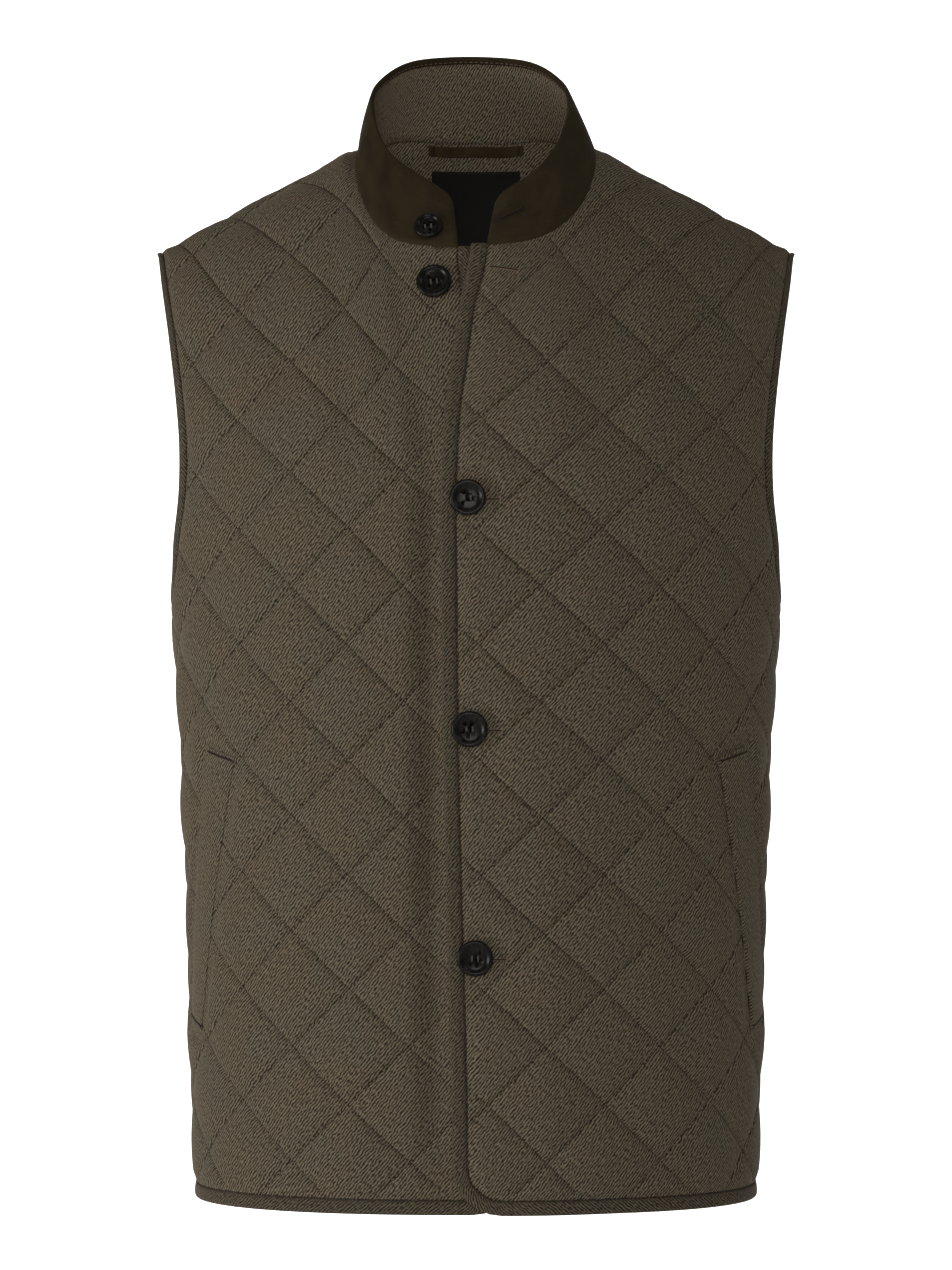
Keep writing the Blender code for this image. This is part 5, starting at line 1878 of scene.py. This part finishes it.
class VEST_OT_buttonholes(bpy.types.Operator):
    """Sewn buttonholes and the bartacks of the pockets and the hanger loop"""

    bl_idname = "vest.buttonholes"
    bl_label = "Buttonholes and bartacks"

    def execute(self, context):
        radius = context.scene.vest_sizes.twist
        quilt = QUILTS["front_left"]

        def on_front(flat, height):
            return quilt.surface(flat, quilt.height(flat, *quilt.lattice_at(flat)) + height)
        whips, slits = [], []
        for start_s, start_t, end_s, end_t in BUTTONHOLES:
            whip, slit = whip_lines(on_front, (start_s, start_t), (end_s, end_t))
            whips += whip
            slits += slit
        frames = collar_frames()

        def on_collar(flat, height):
            return np.array([collar_place(frames, -inset, share, COLLAR_BOW + away)[0]
                             for (inset, share), away in zip(flat * (1, 1 / 0.045), height)])
        whip, slit = whip_lines(on_collar, (0.007, 0.020), (0.024, 0.023))
        sew("buttonhole_twist", whips, buttonhole_twist(), radius=radius)
        sew("collar_buttonhole", whip, sewing_thread(), radius=radius)
        sew("buttonhole_slits", slits + slit, sewing_thread(), radius=radius * 1.5)
        tacks = []
        for side, (thick, _) in WELT_LIE.items():
            quilt = QUILTS["front_" + side]
            cut = quilt.cut
            top, foot, out = welt_corners(cut)

            def on_welt(flat, height):
                s, t = flat.T
                away = cut.lift(s) + WALL + quilt.fold_height(flat) + SEAM_GAP + thick + height - TACK_SINK
                return cut.point(s, t) + cut.normal(s, t) * away[:, None]
            for share in (0.017, 0.983):
                corner = top + share * (foot - top)
                tacks += bar_lines(on_welt, corner + 0.03 * out, corner + 0.97 * out, 3, TACK_PITCH)

        def on_loop(flat, height):
            s, t = flat.T
            away = SEAM_GAP + LOOP_THICK + height - TACK_SINK
            return BACK.point(s, t) - BACK.normal(s, t) * away[:, None]
        for side in (-1, 1):
            s = side * (LOOP_SIZE[0] / 2 - 0.0030)
            high = loop_top(np.array([s]))[0] - LOOP_DROP
            tacks += bar_lines(on_loop, (s, high - 0.0004), (s, high - LOOP_SIZE[1] + 0.0004), 3, TACK_PITCH)
        sew("bartacks", tacks, sewing_thread(), radius=radius)
        return {"FINISHED"}


# Stage

PHOTO_SIZE = (952, 1270)
PIXEL = 0.00064
CAMERA_DISTANCE = 3.2
CAMERA_HEIGHT = -0.278
FLOOR_Z = -1.05
FLOOR_REACH = 6.0
WALL_Y = 4.8
WALL_TOP = 4.0
SWEEP_RADIUS = 0.9
SURROUND = 0.16
SENSOR = 36.0
LIGHTS = (
    # name, place, aim, size, power
    ("key_light", (-2.75, -1.20, -0.40), (0.0, 0.0, -0.38), 1.1, 74.0),
    ("front_light", (-0.15, -3.0, 0.45), (0.0, 0.0, -0.25), 1.2, 49.0),
    ("fill_light", (2.3, -1.1, 1.5), (0.1, 0.0, -0.1), 1.2, 14.0),
    ("top_light", (0.0, -0.4, 2.2), (0.0, 0.0, -0.2), 1.4, 4.0),
    ("wall_light_left", (-1.9, 3.5, 0.7), (-0.3, WALL_Y, -0.4), 1.0, 60.0),
    ("wall_light_right", (1.9, 3.5, 0.7), (0.3, WALL_Y, -0.4), 1.0, 60.0),
)


class VEST_OT_stage(bpy.types.Operator):
    """Pale floor that sweeps up behind the vest, soft studio light and the camera"""

    bl_idname = "vest.stage"
    bl_label = "Stage, light and camera"

    def execute(self, context):
        scene = context.scene
        scene.view_settings.view_transform = "Standard"
        profile = [(-FLOOR_REACH, FLOOR_Z)]
        for turn in np.linspace(0.0, math.pi / 2, 25):
            profile.append((WALL_Y - SWEEP_RADIUS * (1 - math.sin(turn)),
                            FLOOR_Z + SWEEP_RADIUS * (1 - math.cos(turn))))
        profile.append((WALL_Y, WALL_TOP))
        points = [(x, y, z) for y, z in profile for x in (-FLOOR_REACH, FLOOR_REACH)]
        faces = [(2 * row, 2 * row + 1, 2 * row + 3, 2 * row + 2) for row in range(len(profile) - 1)]
        mesh = bpy.data.meshes.new("floor")
        mesh.from_pydata(points, [], faces)
        mesh.shade_smooth()
        mesh.materials.append(shared_material("seamless_paper", seamless_paper))
        floor = bpy.data.objects.new("floor", mesh)
        scene.collection.objects.link(floor)
        for name, place, aim, size, power in LIGHTS:
            light = bpy.data.lights.new(name, "AREA")
            light.shape = "SQUARE"
            light.size = size
            light.energy = power
            lamp = bpy.data.objects.new(name, light)
            lamp.location = place
            lamp.rotation_euler = (Vector(aim) - Vector(place)).to_track_quat("-Z", "Y").to_euler()
            scene.collection.objects.link(lamp)
        world = scene.world or bpy.data.worlds.new("studio")
        scene.world = world
        world.use_nodes = True
        surround = world.node_tree.nodes["Background"].inputs
        surround["Color"].default_value = (1.0, 1.0, 1.0, 1.0)
        surround["Strength"].default_value = SURROUND
        camera = bpy.data.cameras.new("camera")
        camera.sensor_width = SENSOR
        camera.lens = SENSOR * CAMERA_DISTANCE / (PHOTO_SIZE[1] * PIXEL)
        eye = bpy.data.objects.new("camera", camera)
        eye.location = (0.0, -CAMERA_DISTANCE, CAMERA_HEIGHT)
        eye.rotation_euler = (math.pi / 2, 0.0, 0.0)
        scene.collection.objects.link(eye)
        scene.camera = eye
        return {"FINISHED"}


class VEST_PT_pieces(bpy.types.Panel):
    """Pieces of the vest, in the order that they are made"""

    bl_idname = "VEST_PT_pieces"
    bl_label = "Quilted wool vest"
    bl_space_type = "VIEW_3D"
    bl_region_type = "UI"
    bl_category = "Vest"

    def draw(self, context):
        for group in (context.scene.vest_sizes, context.scene.vest_colours):
            for name in type(group).__annotations__:
                self.layout.prop(group, name)
        for operator in OPERATORS:
            self.layout.operator(operator.bl_idname)


OPERATORS = (VEST_OT_stage, VEST_OT_panels, VEST_OT_bindings, VEST_OT_collar, VEST_OT_welts,
             VEST_OT_neck_trims, VEST_OT_buttons, VEST_OT_quilting, VEST_OT_seams, VEST_OT_buttonholes)
CLASSES = (VestSizes, VestColours, *OPERATORS, VEST_PT_pieces)


def register():
    """Registers the classes and hangs the properties on the scene."""
    for each in CLASSES:
        bpy.utils.register_class(each)
    bpy.types.Scene.vest_sizes = PointerProperty(type=VestSizes)
    bpy.types.Scene.vest_colours = PointerProperty(type=VestColours)


def unregister():
    """Takes the properties and the classes away again."""
    del bpy.types.Scene.vest_sizes
    del bpy.types.Scene.vest_colours
    for each in reversed(CLASSES):
        bpy.utils.unregister_class(each)


def main():
    """Makes the stage and every piece."""
    register()
    for operator in OPERATORS:
        group, name = operator.bl_idname.split(".")
        getattr(getattr(bpy.ops, group), name)()


if __name__ == "__main__":
    main()
